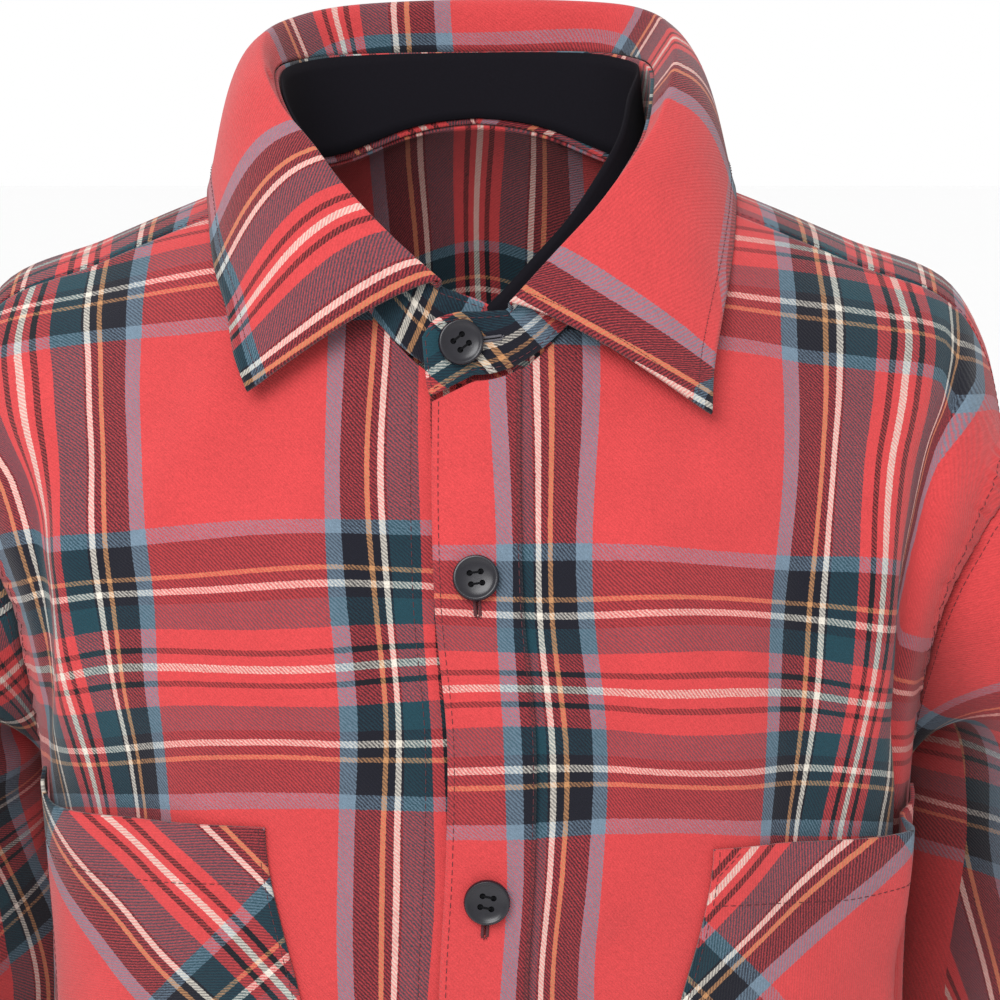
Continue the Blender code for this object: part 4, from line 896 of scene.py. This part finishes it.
def standForm(across, up):
    hand = np.where(across < 0.5, -1.0, 1.0)
    foot = np.where(across < 0.5, stand["footEndRight"], stand["footEndLeft"])
    past = np.clip(1 - np.minimum(across, 1 - across) / stand["end"], 0, 1)
    share = np.clip((across - stand["end"]) / (1 - 2 * stand["end"]), 0, 1)
    first = math.radians(collarTurns[0])
    angle = np.radians(roundCollar(collarTurns, collarTurns, share))
    angle = np.where(past > 0, first + (np.arcsin(-foot / neck["half"]) - first) * past, angle)
    off = (hand > 0) * (2 * cloth["layer"] + lap["room"] + lap["neckRoom"])
    lift = off * (1 - fade((angle - first) / math.radians(stand["lapTurn"])))
    low = necklinePoint(angle, hand, lift - (hand < 0) * stand["underlapIn"] * past)
    start = necklinePoint(np.full_like(angle, first), hand, off)
    turn, turnFade = stand["gapTurn"]
    low[:, 2] += stand["footGap"] * (1 - fade((angle - turn) / turnFade))
    top = collarPlace("seam", share) - np.array([0, 0, cloth["gap"]])
    for side, sign in (("left", 1), ("right", -1)):
        out = sign * smoothThrough(standEnds["past"], standEnds[side + "Out"], past)
        endUp = smoothThrough(standEnds["past"], standEnds[side + "Up"], past)
        endTop = np.stack([out, top[:, 1] + low[:, 1] - start[:, 1], endUp], axis=-1)
        top = np.where(((past > 0) & (hand == sign))[:, None], endTop, top)
    rise = top - low
    reach = np.clip(up, 0, 1)
    bulge = reach ** (1 - stand["bulge"] * past**2)
    return low + rise * np.stack([bulge, reach, reach], axis=-1)


standGrid = {
    "columns": 260, "rows": 20, "flat": (0.47, 0.045), "area": 0.0175,
    "lapped": (0.0040, 0.72, 0.53, 0.0355, 0.078, -1.0),
    "under": (0.0691, -0.912, -0.41, 0.0371, 0.22, -0.97),
    "liningGrid": (200, 8), "liningFlat": (0.42, 0.03), "liningRange": (0.97, 0.06), "liningUnder": 0.0004,
    "peek": (-0.0072, 0.0, 0.0015), "peekFrom": (0.60, 0.10), "peekTo": (0.985, 0.06), "peekPower": 0.7,
}


def standPlace(across, down):
    points = standForm(across, 1 - down)
    along, deep, i, j = gridLengths(points, standGrid["columns"], standGrid["rows"], across, down)
    middle = along[standGrid["rows"] // 2]
    under = across < 0.5  # the two ends come from different places on the bolt
    fromEnd = np.where(under, middle[j], middle[-1] - middle[j])
    laid = np.where(under[:, None], standGrid["under"], standGrid["lapped"])
    rise = deep[-1, j] - deep[i, j]
    u = laid[:, 0] + laid[:, 1] * fromEnd + laid[:, 2] * rise
    return points, u, laid[:, 3] + laid[:, 4] * fromEnd + laid[:, 5] * rise


clothPiece("standCloth", "collar_stand", standGrid["columns"], standGrid["rows"], standPlace,
           standGrid["flat"], area=standGrid["area"], flip=True, on=("yokeCloth",), held="folded")


def liningPlace(across, down):
    inner = stand["end"]
    share = inner + (1 - 2 * inner) * across
    high, low = standGrid["liningRange"]
    under = -cloth["layer"] - standGrid["liningUnder"]
    points = lifted(standForm, share, high + (low - high) * down, under)
    # on the wearer's left it comes out a little from under the collar
    (near, nearFade), (far, farFade) = standGrid["peekFrom"], standGrid["peekTo"]
    peek = fade((share - near) / nearFade) * fade((far - share) / farFade)
    peek = peek * (1 - down) ** standGrid["peekPower"]
    points += peek[:, None] * np.array(standGrid["peek"])
    return points, across * standGrid["liningFlat"][0], down * standGrid["liningFlat"][1]


clothPiece("standLining", "stand_lining", *standGrid["liningGrid"], liningPlace, standGrid["liningFlat"],
           wall=stand["lining"], flip=True, slot="lining", material=lining, held="folded",
           on=("standCloth",))
print("collar made")


# sleeves, their plackets and cuffs
def armholeHalf(where, hand):
    depth = np.linspace(1e-6, math.sqrt(hem["underarm"]), samples["armhole"])
    sign = 1 if where == "front" else -1
    points = onBody(hand * edgeRun(depth**2, where), sign * depth)
    length = lengthAlong(points)
    return points, length / length[-1]


armholes = {(where, hand): armholeHalf(where, hand) for where in ("front", "back") for hand in (1, -1)}


def armholeRing(share, hand):
    turn = np.mod(share, 1.0)
    reach = np.where(turn < 0.5, 2 * turn, 2 - 2 * turn)
    front, back = (pointsAt(reach, at, points)
                   for points, at in (armholes[where, hand] for where in ("front", "back")))
    return np.where((turn < 0.5)[:, None], front, back)


def sleeveRing(i, share, hand):
    ring = {key: column[i] for key, column in sleeveRings.items()}
    turn, lean, yaw = 2 * math.pi * share, math.radians(ring["lean"]), math.radians(ring["yaw"])
    across, through = ring["across"] * np.cos(turn), ring["through"] * np.sin(turn)
    out = ring["out"] + across * math.cos(lean) * math.cos(yaw) + through * math.sin(yaw)
    y = ring["y"] - through * math.cos(yaw) + across * math.sin(yaw)
    return np.stack([hand * out, y, ring["up"] + across * math.sin(lean)], axis=-1)


def sleeveForm(hand):
    def form(share, along):
        rings = [armholeRing(share, hand)]
        rings += [sleeveRing(i, share, hand) for i in range(len(sleeveRings["up"]))]
        return smoothThrough(sleeveShape["stations"], np.stack(rings), along)

    return form


def onSleeve(share, along, hand, lift=0.0):
    turn, reach = np.mod(share, 1.0), sleeveShape["reach"]
    shift = sleeveShape["rightTurn"] * (hand < 0)
    topFade, endFade = sleeveShape["foldFade"]
    depth = sum(ridges(folds, turn + shift + k, along, reach)
                for folds in (sleeveFolds, sleeveCreases) for k in (-1, 0, 1))
    depth = depth * fade(along / topFade) * fade((1 - along) / endFade)
    depth = depth + ridges(sleevePress, turn, along, reach) * fade(along / sleeveShape["pressFade"])
    depth = depth + ridges(sleeveHollow, turn, along, reach) * fade(along / sleeveShape["hollowFade"])
    return lifted(sleeveForm(hand), share, along, -hand * (lift + depth))


sleeveGrid = {
    "columns": 100, "rows": 130, "flat": (0.41, 0.52), "area": 0.185, "cuffFlat": (0.265, 0.066),
    "cuffColumns": 90, "cuffRows": 22, "cuffAt": (0.06, -0.03), "placketFlat": (0.019, 0.14),
    "placketColumns": 8, "placketRows": 46, "placketAt": (0.01, -0.012), "capLong": 0.25,
    "slantKept": 0.25, "slantTo": 0.19, "slantFade": 0.16,
}
# how each sleeve was cut: where the pattern starts, how far the cap is eased in, and how the weft lies
sleeveCuts = {
    "Left": {"at": (0.032, 0.147), "cap": 0.5, "capFrom": 0.14, "level": 0.9, "slant": 0.0},
    "Right": {"at": (0.045, 0.168), "cap": 0.8, "capFrom": 0.0, "level": 0.0, "slant": -0.03},
}


def sleeve(side, hand):
    cut = sleeveCuts[side]

    def place(across, down):
        along = sleeveShape["start"] + (sleeveShape["end"] - sleeveShape["start"]) * down
        points = onSleeve(0.5 + across, along, hand)
        smooth = sleeveForm(hand)(0.5 + across, along)
        lengths, deep, i, j = gridLengths(smooth, sleeveGrid["columns"], sleeveGrid["rows"], across, down)
        middle = sleeveGrid["columns"] // 2
        outer = deep[i, middle]
        eased = cut["cap"] + (1 - cut["cap"]) * fade((outer - cut["capFrom"]) / sleeveGrid["capLong"])
        u = -hand * (lengths[i, j] - lengths[i, middle]) * eased
        lower = fade((outer - sleeveGrid["slantTo"]) / sleeveGrid["slantFade"])
        slant = cut["slant"] * np.sin(2 * math.pi * across) * (1 - (1 - sleeveGrid["slantKept"]) * lower)
        # the underarm is shorter than the outer side, and its weft is level with the cuff
        short = deep[-1, middle] - deep[-1, j] + deep[i, j] - outer
        return points, u - hand * cut["at"][0], outer + cut["level"] * short - slant - cut["at"][1]

    clothPiece(f"sleeve{side}Cloth", f"sleeve_{side.lower()}", sleeveGrid["columns"], sleeveGrid["rows"],
               place, sleeveGrid["flat"], area=sleeveGrid["area"], flip=hand > 0, tube=True,
               on=("yokeCloth",))


def cuffPoint(hand, turn, down, lift):
    last = len(sleeveRings["up"]) - 1
    ring = sleeveRing(last, turn, hand)
    above, middle = (np.array([hand * sleeveRings["out"][i], sleeveRings["y"][i], sleeveRings["up"][i]])
                     for i in (last - 1, last))
    axis = (middle - above) / np.linalg.norm(middle - above)
    off = (ring - middle) / np.linalg.norm(ring - middle, axis=1)[:, None]
    reach = (cloth["gap"] + sleeveShape["cuffLong"] * down)[:, None]
    return ring + off * np.reshape(lift, (-1, 1)) + axis * reach


def cuffTurn(across):
    return sleeveShape["cuffOpens"] - sleeveShape["cuffLap"] / 2 + across * (1 + sleeveShape["cuffLap"])


def cuffLift(across):
    return sleeveShape["cuffEase"] * cloth["layer"] * across


def cuff(side, hand):
    size = sleeveGrid["cuffColumns"], sleeveGrid["cuffRows"]

    def place(across, down):
        points = cuffPoint(hand, cuffTurn(across), down, cuffLift(across))
        along, deep, i, j = gridLengths(points, *size, across, down)
        at = sleeveGrid["cuffAt"]
        return points, hand * (along[0][j] - at[0]), deep[i, j] - at[1]

    clothPiece(f"cuff{side}Cloth", f"cuff_{side.lower()}", *size, place, sleeveGrid["cuffFlat"],
               flip=hand > 0, on=(f"sleeve{side}Cloth",), held="folded")


def sleevePlacket(side, hand):
    size = sleeveGrid["placketColumns"], sleeveGrid["placketRows"]

    def place(across, down):
        turn = sleeveShape["cuffOpens"] + (2 * across - 1) * sleeveShape["slitHalf"]
        slit = sleeveShape["slitFrom"] + (sleeveShape["slitTo"] - sleeveShape["slitFrom"]) * down
        points = onSleeve(turn, slit, hand, cloth["layer"])
        along, deep, i, j = gridLengths(points, *size, across, down)
        at = sleeveGrid["placketAt"]
        return points, hand * (along[i, j] - at[0]), deep[i, j] - at[1]

    clothPiece(f"sleevePlacket{side}Cloth", f"sleeve_placket_{side.lower()}", *size, place,
               sleeveGrid["placketFlat"], flip=hand > 0, on=(f"sleeve{side}Cloth",))


for side, hand in sides:
    sleeve(side, hand)
    cuff(side, hand)
    sleevePlacket(side, hand)
print("sleeves made")

# patch pockets, cut on the bias
pocketGrid = {"columns": 44, "rows": 50, "flat": (0.124, 0.16), "area": 0.0172,
              "atLeft": (-0.0700, 0.012), "atRight": (-0.0911, 0.012), "bias": 45.0}


def pocketPlace(side, across, down):
    top, inner = pocketShape["top" + side], pocketShape["inner" + side]
    inside = inner - pocketShape["spread"] * fade(down / pocketShape["spreadLong"])
    run = inside + (inner + pocketShape["wide"] - inside) * across
    lifting = np.clip((across - pocketShape["cornerFrom"]) / (1 - pocketShape["cornerFrom"]), 0, 1)
    high = top - pocketShape["corner"] * lifting**1.6
    low = top + pocketShape["long"] + pocketShape["point"] * (1 - np.abs(2 * across - 1))
    drop = high + (low - high) * down
    mouth = np.sin(math.pi * across**1.8) * (1 - fade(down / pocketShape["mouthLong"]))
    turning = fade((run - pocketShape["turnFrom"]) / pocketShape["turnFade"])
    lift = cloth["layer"] + pocketShape["gape"] * mouth + pocketShape["ease"] * (0.5 + 0.5 * turning)
    return run, drop, lift


def pocket(side, hand):
    top, inner = pocketShape["top" + side], pocketShape["inner" + side]

    def place(across, down):
        run, drop, lift = pocketPlace(side, across, down)
        points = onBody(hand * run, np.sqrt(drop), lift)
        start = clothDown(np.array([inner]), np.array([math.sqrt(top)]), 1)
        u, v = turned(-run, clothDown(run, np.sqrt(drop), 1) - start, pocketGrid["bias"])
        at = pocketGrid["at" + side]
        return points, -hand * (u - at[0]), v - at[1]

    clothPiece(f"pocket{side}Cloth", f"pocket_{side.lower()}", pocketGrid["columns"], pocketGrid["rows"],
               place, pocketGrid["flat"], area=pocketGrid["area"], flip=hand < 0,
               on=(f"front{side}Cloth",))


for side, hand in sides:
    pocket(side, hand)
print("pockets made")


# buttons, with four holes, a raised rim and the thread that holds them, the holes filled with black thread
# that is also painted shade
buttonLook = {
    "profile": ((0, 0), (0.80, 0), (0.95, 0.22), (1.0, 0.46), (0.99, 0.76), (0.95, 0.95), (0.90, 1.0),
                (0.85, 0.97), (0.80, 0.86), (0.72, 0.76), (0.58, 0.67), (0.40, 0.61), (0.2, 0.59),
                (0, 0.585)),
    "steps": 64, "sharp": 38.0, "hole": 0.00108, "holeAt": 0.00200, "holeSteps": 20,
    "thread": 0.00013, "strands": (-0.00026, 0.0, 0.00026), "threadShadeFill": (-0.1, 0.35), "threadShadeFillWide": 0.93,
    "bridge": ((1.0, 0.05), (0.96, 0.50), (0.62, 0.64), (-0.62, 0.64), (-0.96, 0.50), (-1.0, 0.05)),
    "turns": {1: 38, 2: 8, 3: -12, 4: 21, 5: 3, 6: -17}, "cuffTurn": 30,
}


def meshOf(piece):
    # the finished mesh of a helper object, which is then removed
    view = bpy.context.evaluated_depsgraph_get()
    data = bpy.data.meshes.new_from_object(piece.evaluated_get(view))
    bpy.data.objects.remove(piece)
    return data


def finished(name, data, material, node=None):
    data.name = name
    data.materials.clear()
    data.materials.append(material)
    data.shade_smooth()
    piece = addObject(name, data)
    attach(piece, "root")
    if node:
        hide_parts(node)
    return piece


def threads(name, lines, radius, material=darkThread, corners=1):
    # short lengths of thread, each a line of points
    curve = bpy.data.curves.new(name, "CURVE")
    curve.dimensions = "3D"
    curve.bevel_depth, curve.bevel_resolution, curve.use_fill_caps = radius, corners, True
    for line in lines:
        spline = curve.splines.new("POLY")
        spline.points.add(len(line) - 1)
        for point, place in zip(spline.points, line):
            point.co = (*place, 1)
    finished(name, meshOf(addObject(name, curve)), material)


def button(name, node, middle, facing, spin):
    radius, thick = buttonShape["across"] / 2, buttonShape["thick"]
    mesh = bmesh.new()
    points = [mesh.verts.new((x * radius, 0, z * thick)) for x, z in buttonLook["profile"]]
    edges = [mesh.edges.new(pair) for pair in zip(points, points[1:])]
    bmesh.ops.spin(mesh, geom=points + edges, cent=(0, 0, 0), axis=(0, 0, 1), angle=2 * math.pi,
                   steps=buttonLook["steps"], use_merge=True)
    bmesh.ops.remove_doubles(mesh, verts=mesh.verts, dist=1e-6)
    bmesh.ops.recalc_face_normals(mesh, faces=mesh.faces)
    disc = fromBmesh(name, mesh)
    mesh = bmesh.new()
    hole, holeAt = buttonLook["hole"], buttonLook["holeAt"]
    holes = [(x * holeAt, y * holeAt) for x in (-1, 1) for y in (-1, 1)]
    for x, y in holes:
        bmesh.ops.create_cone(mesh, cap_ends=True, segments=buttonLook["holeSteps"], radius1=hole,
                              radius2=hole, depth=3 * thick, matrix=Matrix.Translation((x, y, 0)))
    drill = fromBmesh(name + "Drill", mesh)
    cut = disc.modifiers.new("Holes", "BOOLEAN")
    cut.operation, cut.object, cut.solver = "DIFFERENCE", drill, "EXACT"
    data = meshOf(disc)
    bpy.data.objects.remove(drill)
    facing = Vector(facing).normalized()
    turn = facing.to_track_quat("Z", "Y").to_matrix().to_4x4()
    place = Matrix.Translation(Vector(middle) + facing * buttonShape["lift"]) @ turn
    place = place @ Matrix.Rotation(math.radians(spin), 4, "Z")
    data.transform(place)
    piece = finished(name, data, plastic, node)
    piece.data.set_sharp_from_angle(angle=math.radians(buttonLook["sharp"]))
    lines = [[place @ Vector((share * x, y + aside, up * thick)) for share, up in buttonLook["bridge"]]
             for x, y in holes[:2] for aside in buttonLook["strands"]]
    threads(name + "Thread", lines, buttonLook["thread"], blackThreadAndShade)
    # each hole is filled with a thick black column: thread, and painted shade for the dark inside the hole
    threadShadeFills = [[place @ Vector((x, y, up * thick)) for up in buttonLook["threadShadeFill"]] for x, y in holes]
    threads(name + "ThreadShadeFills", threadShadeFills, buttonLook["threadShadeFillWide"] * hole, blackThreadAndShade, 3)


holeShape = {"slit": 0.00035, "slitShadeLong": 0.92, "wide": 0.0011, "count": 110, "thread": 0.00019,
             "slitShadeRadius": 0.00022, "half": 0.0085, "below": 0.0047, "standHalf": 0.0090,
             "standAside": 0.0062, "standTall": 0.030,
             # each stitch from the slit outwards, and how high it lies
             "rise": ((0.0, -0.0002), (0.25, 0.0005), (0.7, 0.0005), (1.0, -0.0003))}


def stadium(half, wide, count):
    # points round a long narrow loop, with the outward direction at each
    turn = np.linspace(0, 2 * math.pi, samples["loop"]) + 0.001
    out = np.stack([np.cos(turn), np.sin(turn)], axis=-1)
    ring = wide * out + np.sign(out) * np.array([0, half - wide])
    reach = lengthAlong(ring)
    at = np.linspace(0, reach[-1], count, endpoint=False)
    return pointsAt(at, reach, ring), pointsAt(at, reach, out)


def buttonhole(name, form, centre, half, upright, material):
    # form(across, along, lift) lays a millimetre-sized pattern on the cloth
    ring, out = stadium(half, holeShape["slit"], holeShape["count"])
    slit = np.linspace(-1, 1, 9)[:, None] * np.array([[0, holeShape["slitShadeLong"] * half]])
    if not upright:
        ring, out, slit = ring[:, ::-1], out[:, ::-1], slit[:, ::-1]
    rows = [form(*(ring + centre + share * holeShape["wide"] * out).T, lift)
            for share, lift in holeShape["rise"]]
    threads(name, list(zip(*rows)), holeShape["thread"], material)
    # the slit is drawn as a black line: painted shade in the gap of the cut
    threads(name + "SlitShade", [form(*(slit + centre).T, 0.0)], holeShape["slitShadeRadius"], blackThreadAndShade)


def frontButtons():
    climbs = np.linspace(0.2, math.sqrt(hem["centre"]), samples["band"])
    bandLift = lapLift(0.0, climbs**2, 1) + cloth["layer"]
    heights = onBody(0.0, climbs, bandLift)[:, 2]
    for i, height in enumerate(buttonShape["heights"], start=2):
        climb = np.interp(-height, -heights, climbs)
        lift = np.interp(climb, climbs, bandLift)
        low, high = onBody(0.0, climb, lift)[0], onBody(0.0, climb, lift + cloth["layer"])[0]
        button(f"button{i}", f"button_{i}", low, high - low, buttonLook["turns"][i])

        def onBand(across, up, lift, height=height):
            # up is measured down the band from the button's middle
            climb = np.interp(-(height - up), -heights, climbs)
            return bandPoints(across, climb**2, lift)

        buttonhole(f"buttonhole{i}", onBand, (0.0, holeShape["below"]), holeShape["half"], True, darkThread)


def neckButton():
    along, up = (np.array([share]) for share in stand["button"])
    low, high = standForm(along, up)[0], lifted(standForm, along, up, cloth["layer"])[0]
    button("button1", "button_1", low, high - low, buttonLook["turns"][1])
    shares = np.linspace(0.90, 1.0, samples["standEnd"])
    reach = lengthAlong(standForm(shares, np.full_like(shares, up[0])))
    start = np.interp(along[0], shares, reach)

    def onStand(across, rise, lift):
        share = np.interp(start - across, reach, shares)
        return lifted(standForm, share, up[0] + rise / holeShape["standTall"], lift)

    buttonhole("buttonhole1", onStand, (holeShape["standAside"], 0.0), holeShape["standHalf"], False,
               greyThread)


frontButtons()
neckButton()
for side, hand in sides:
    turn, down = np.array([sleeveShape["cuffOpens"]]), np.array([0.5])
    low, high = (cuffPoint(hand, turn, down, cuffLift(1.0) + more)[0] for more in (0.0, cloth["layer"]))
    button(f"buttonCuff{side}", f"button_cuff_{side.lower()}", low, high - low, buttonLook["cuffTurn"])
print("buttons made")

# sewing: rows of short stitches along paths on the cloth
sewing = {
    "stitch": 0.0024, "gap": 0.0006, "first": 0.0005, "thread": 0.00015, "down": -0.00030, "up": 0.00010,
    "dips": ((0.0, "down"), (0.22, "up"), (0.78, "up"), (1.0, "down")),
}
even = np.linspace(0, 1, samples["path"])
mirrored = 2 * even - 1


def span(start, end):
    return start + (end - start) * even


def seam(name, paths):
    # each path gives its points when told how far above the cloth they are
    stitches = []
    for path in paths:
        heights = {"down": path(sewing["down"]), "up": path(sewing["up"])}
        lengths = lengthAlong(heights["up"])
        pitch = sewing["stitch"] + sewing["gap"]
        starts = np.arange(sewing["first"], lengths[-1] - sewing["stitch"], pitch)
        stitches += zip(*(pointsAt(starts + share * sewing["stitch"], lengths, heights[height])
                          for share, height in sewing["dips"]))
    threads(name, stitches, sewing["thread"])


# paths: each place is a row of numbers or one number
def bodyPath(hand, run, drop, where="front"):
    run, drop = np.broadcast_arrays(even, run, drop)[1:]
    under = armholeLift(run, drop, where)
    if where == "front":
        under = under + lapLift(run, drop, max(hand, 0))
    sign = 1 if where == "front" else -1
    return lambda lift: onBody(hand * run, sign * np.sqrt(drop), under + lift)


def formPath(form, across, down):
    across, down = np.broadcast_arrays(even, across, down)[1:]
    return lambda lift: lifted(form, across, down, lift)


def bandPath(run, down):
    run = np.broadcast_to(run, even.shape)
    return lambda lift: bandPoints(run, frontPlace(run, down)[1], lift)


def sleevePath(hand, share, along, plies=0):
    share, along = np.broadcast_arrays(even, share, along)[1:]
    return lambda lift: onSleeve(share, along, hand, plies * cloth["layer"] + lift)


def cuffPath(hand, across, down):
    across, down = np.broadcast_arrays(even, across, down)[1:]
    return lambda lift: cuffPoint(hand, cuffTurn(across), down, cuffLift(across) + lift)


def pocketPath(side, hand, across, down):
    run, drop, under = pocketPlace(side, *np.broadcast_arrays(even, across, down)[1:])
    return lambda lift: onBody(hand * run, np.sqrt(drop), under + lift)


def toEdge(form, across, inset):
    # how far down the turned-down collar a line is that keeps inset from its outer edge
    low, high = form(across, np.full_like(across, 0.9)), form(across, np.ones_like(across))
    return 1 - 0.1 * inset / np.linalg.norm(high - low, axis=1)


collarSewn = {"inset": 0.0066, "measured": 0.8, "top": 0.30}
inset = collarSewn["inset"] / lengthAlong(fallForm(even, np.full_like(even, collarSewn["measured"])))[-1]
down = toEdge(fallForm, span(inset, 1 - inset), collarSewn["inset"])
seam("collarStitches", [
    formPath(fallForm, span(inset, 1 - inset), down),
    *(formPath(fallForm, end, span(collarSewn["top"], down[0])) for end in (inset, 1 - inset)),
])

standSewn = {"inset": 0.0032, "lap": 0.16, "low": 0.08, "high": 0.90, "under": (0.02, 0.12),
             "underHigh": 0.92}
end = 1 - standSewn["inset"]
seam("standStitches", [
    *(formPath(standForm, span(end, end - standSewn["lap"]), standSewn[row]) for row in ("high", "low")),
    formPath(standForm, end, span(standSewn["low"], standSewn["high"])),
    formPath(standForm, span(*standSewn["under"]), standSewn["underHigh"]),
])

bandSewn = {"outer": 0.0023, "inner": 0.0012, "from": 0.004, "to": 0.997}
seam("bandStitches", [
    bandPath(run, span(bandSewn["from"], bandSewn["to"]))
    for run in (-lap["overlap"] + bandSewn["outer"], lap["bandInner"] - bandSewn["inner"])
])

bodySewn = {
    "hem": 0.009, "hemFrom": 0.04, "hemTo": 0.99, "facing": 0.0225, "facingFrom": 0.083, "facingUp": 0.002,
    "armhole": 0.009, "frontArmhole": (0.0125, 0.2175), "backArmhole": (0.075, 0.225),
    "hemDrop": 0.645, "hemIn": 0.002, "yokeDrop": 0.068, "yokeIn": 0.003, "yokeUp": 0.003,
    "shoulderFrom": 0.001, "shoulderIn": 0.002, "shoulderUp": 0.0045,
}
share = span(bodySewn["hemFrom"], bodySewn["hemTo"])
drop = span(*bodySewn["frontArmhole"])
seam("frontStitches", [
    bodyPath(-1, bodySewn["facing"], span(bodySewn["facingFrom"], hem["centre"] - bodySewn["facingUp"])),
    *(bodyPath(hand, tipRun * share, hemDrop(share) - bodySewn["hem"]) for hand in (1, -1)),
    *(bodyPath(hand, edgeRun(drop, "front") - bodySewn["armhole"], drop) for hand in (1, -1)),
])
drop = span(*bodySewn["backArmhole"])
seam("backStitches", [
    bodyPath(1, (edgeRun(bodySewn["hemDrop"], "back")[0] - bodySewn["hemIn"]) * mirrored,
             hemDrop(np.abs(mirrored)) - bodySewn["hem"], "back"),
    *(bodyPath(hand, edgeRun(drop, "back") - bodySewn["armhole"], drop, "back") for hand in (1, -1)),
])


def shoulderPath(hand):
    run = span(cornerRun + bodySewn["shoulderFrom"], tipRun - bodySewn["shoulderIn"])
    climb = math.sqrt(neck["yokeForward"]) - bodySewn["shoulderUp"]
    return lambda lift: onBody(hand * run, climb, lift)


seam("yokeStitches", [
    bodyPath(1, (edgeRun(bodySewn["yokeDrop"], "back")[0] - bodySewn["yokeIn"]) * mirrored,
             yokeSeamDrop(np.abs(mirrored)) - bodySewn["yokeUp"], "back"),
    shoulderPath(1), shoulderPath(-1),
])

sleeveSewn = {
    "start": 0.008, "side": 0.012, "low": 0.93, "high": 0.05, "placketWide": 0.8, "placketTo": 0.990,
    "placketDown": 0.006,
}
for side, hand in sides:
    seam(f"sleeveStitches{side}", [sleevePath(hand, even, sleeveSewn["start"])])
    inset, low, high = sleeveSewn["side"], sleeveSewn["low"], sleeveSewn["high"]
    seam(f"cuffStitches{side}", [
        cuffPath(hand, span(inset, 1 - inset), low),
        cuffPath(hand, even, high),
        *(cuffPath(hand, across, span(high, low)) for across in (1 - inset, inset)),
    ])
    start, turn = sleeveShape["slitFrom"], sleeveShape["cuffOpens"]
    half = sleeveSewn["placketWide"] * sleeveShape["slitHalf"]
    seam(f"placketStitches{side}", [
        *(sleevePath(hand, turn + aside, span(start, sleeveSewn["placketTo"]), 1)
          for aside in (-half, half)),
        sleevePath(hand, turn + half * mirrored, start + sleeveSewn["placketDown"], 1),
    ])

pocketSewn = {"edge": 0.0020, "hem": 0.0205, "cornerWide": 0.075, "cornerFrom": 0.012, "cornerTo": 0.072}
inset = pocketSewn["edge"] / pocketShape["wide"]
bottom = 1 - pocketSewn["edge"] / pocketShape["long"]
corner = span(pocketSewn["cornerTo"], pocketSewn["cornerFrom"])
for side, hand in sides:
    seam(f"pocketStitches{side}", [pocketPath(side, hand, across, down) for across, down in (
        (inset, bottom * even),
        (1 - inset, bottom * even),
        (span(inset, 1 - inset), bottom),
        (span(inset, 1 - inset), pocketSewn["hem"] / pocketShape["long"]),
        (inset + pocketSewn["cornerWide"] * even, corner),
        (1 - inset - pocketSewn["cornerWide"] * even, corner),
    )])
print("sewing made")

# floor, light and camera
studio = {
    "floor": -0.742, "size": 30.0, "white": (0.97, 0.98),
    "paint": {"colour": (1.0, 1.0, 1.0), "rough": 0.9, "grain": 3.0, "deep": 0.0001},
    "light": (-0.5, -1.45, 0.85), "lit": (0.0, -0.05, -0.12), "lightSize": (1.1, 1.0), "power": 36.0,
    "lens": 97.7, "sensor": 36.0, "tilt": 8.0, "away": 0.95, "aim": (0.009, -0.12, -0.115),
}
mesh = bmesh.new()
bmesh.ops.create_grid(mesh, x_segments=1, y_segments=1, size=studio["size"])
bmesh.ops.translate(mesh, verts=mesh.verts, vec=(0, 0, studio["floor"]))
floor = fromBmesh("floor", mesh)
floorPaint = plainMaterial("floorPaint", **studio["paint"])
for stop, shade in zip(floorPaint.node_tree.nodes["Color Ramp"].color_ramp.elements, studio["white"]):
    stop.color = (shade, shade, shade, 1)
floor.data.materials.append(floorPaint)

world = bpy.data.worlds.new("studio")
bpy.context.scene.world = world
world.use_nodes = True
world.node_tree.nodes["Background"].inputs["Color"].default_value = (1, 1, 1, 1)
world.node_tree.nodes["Background"].inputs["Strength"].default_value = 1.0

lamp = bpy.data.lights.new("keyLight", "AREA")
lamp.shape, lamp.energy = "RECTANGLE", studio["power"]
lamp.size, lamp.size_y = studio["lightSize"]
keyLight = addObject("keyLight", lamp)
keyLight.location = studio["light"]
toward = Vector(studio["lit"]) - Vector(studio["light"])
keyLight.rotation_euler = toward.to_track_quat("-Z", "Y").to_euler()

lens = bpy.data.cameras.new("camera")
lens.lens, lens.sensor_width = studio["lens"], studio["sensor"]
camera = addObject("camera", lens)
tilt = math.radians(studio["tilt"])
camera.location = Vector(studio["aim"]) + studio["away"] * Vector((0, -math.cos(tilt), math.sin(tilt)))
camera.rotation_euler = (math.pi / 2 - tilt, 0, 0)
bpy.context.scene.camera = camera
bpy.context.scene.view_settings.view_transform = "Standard"
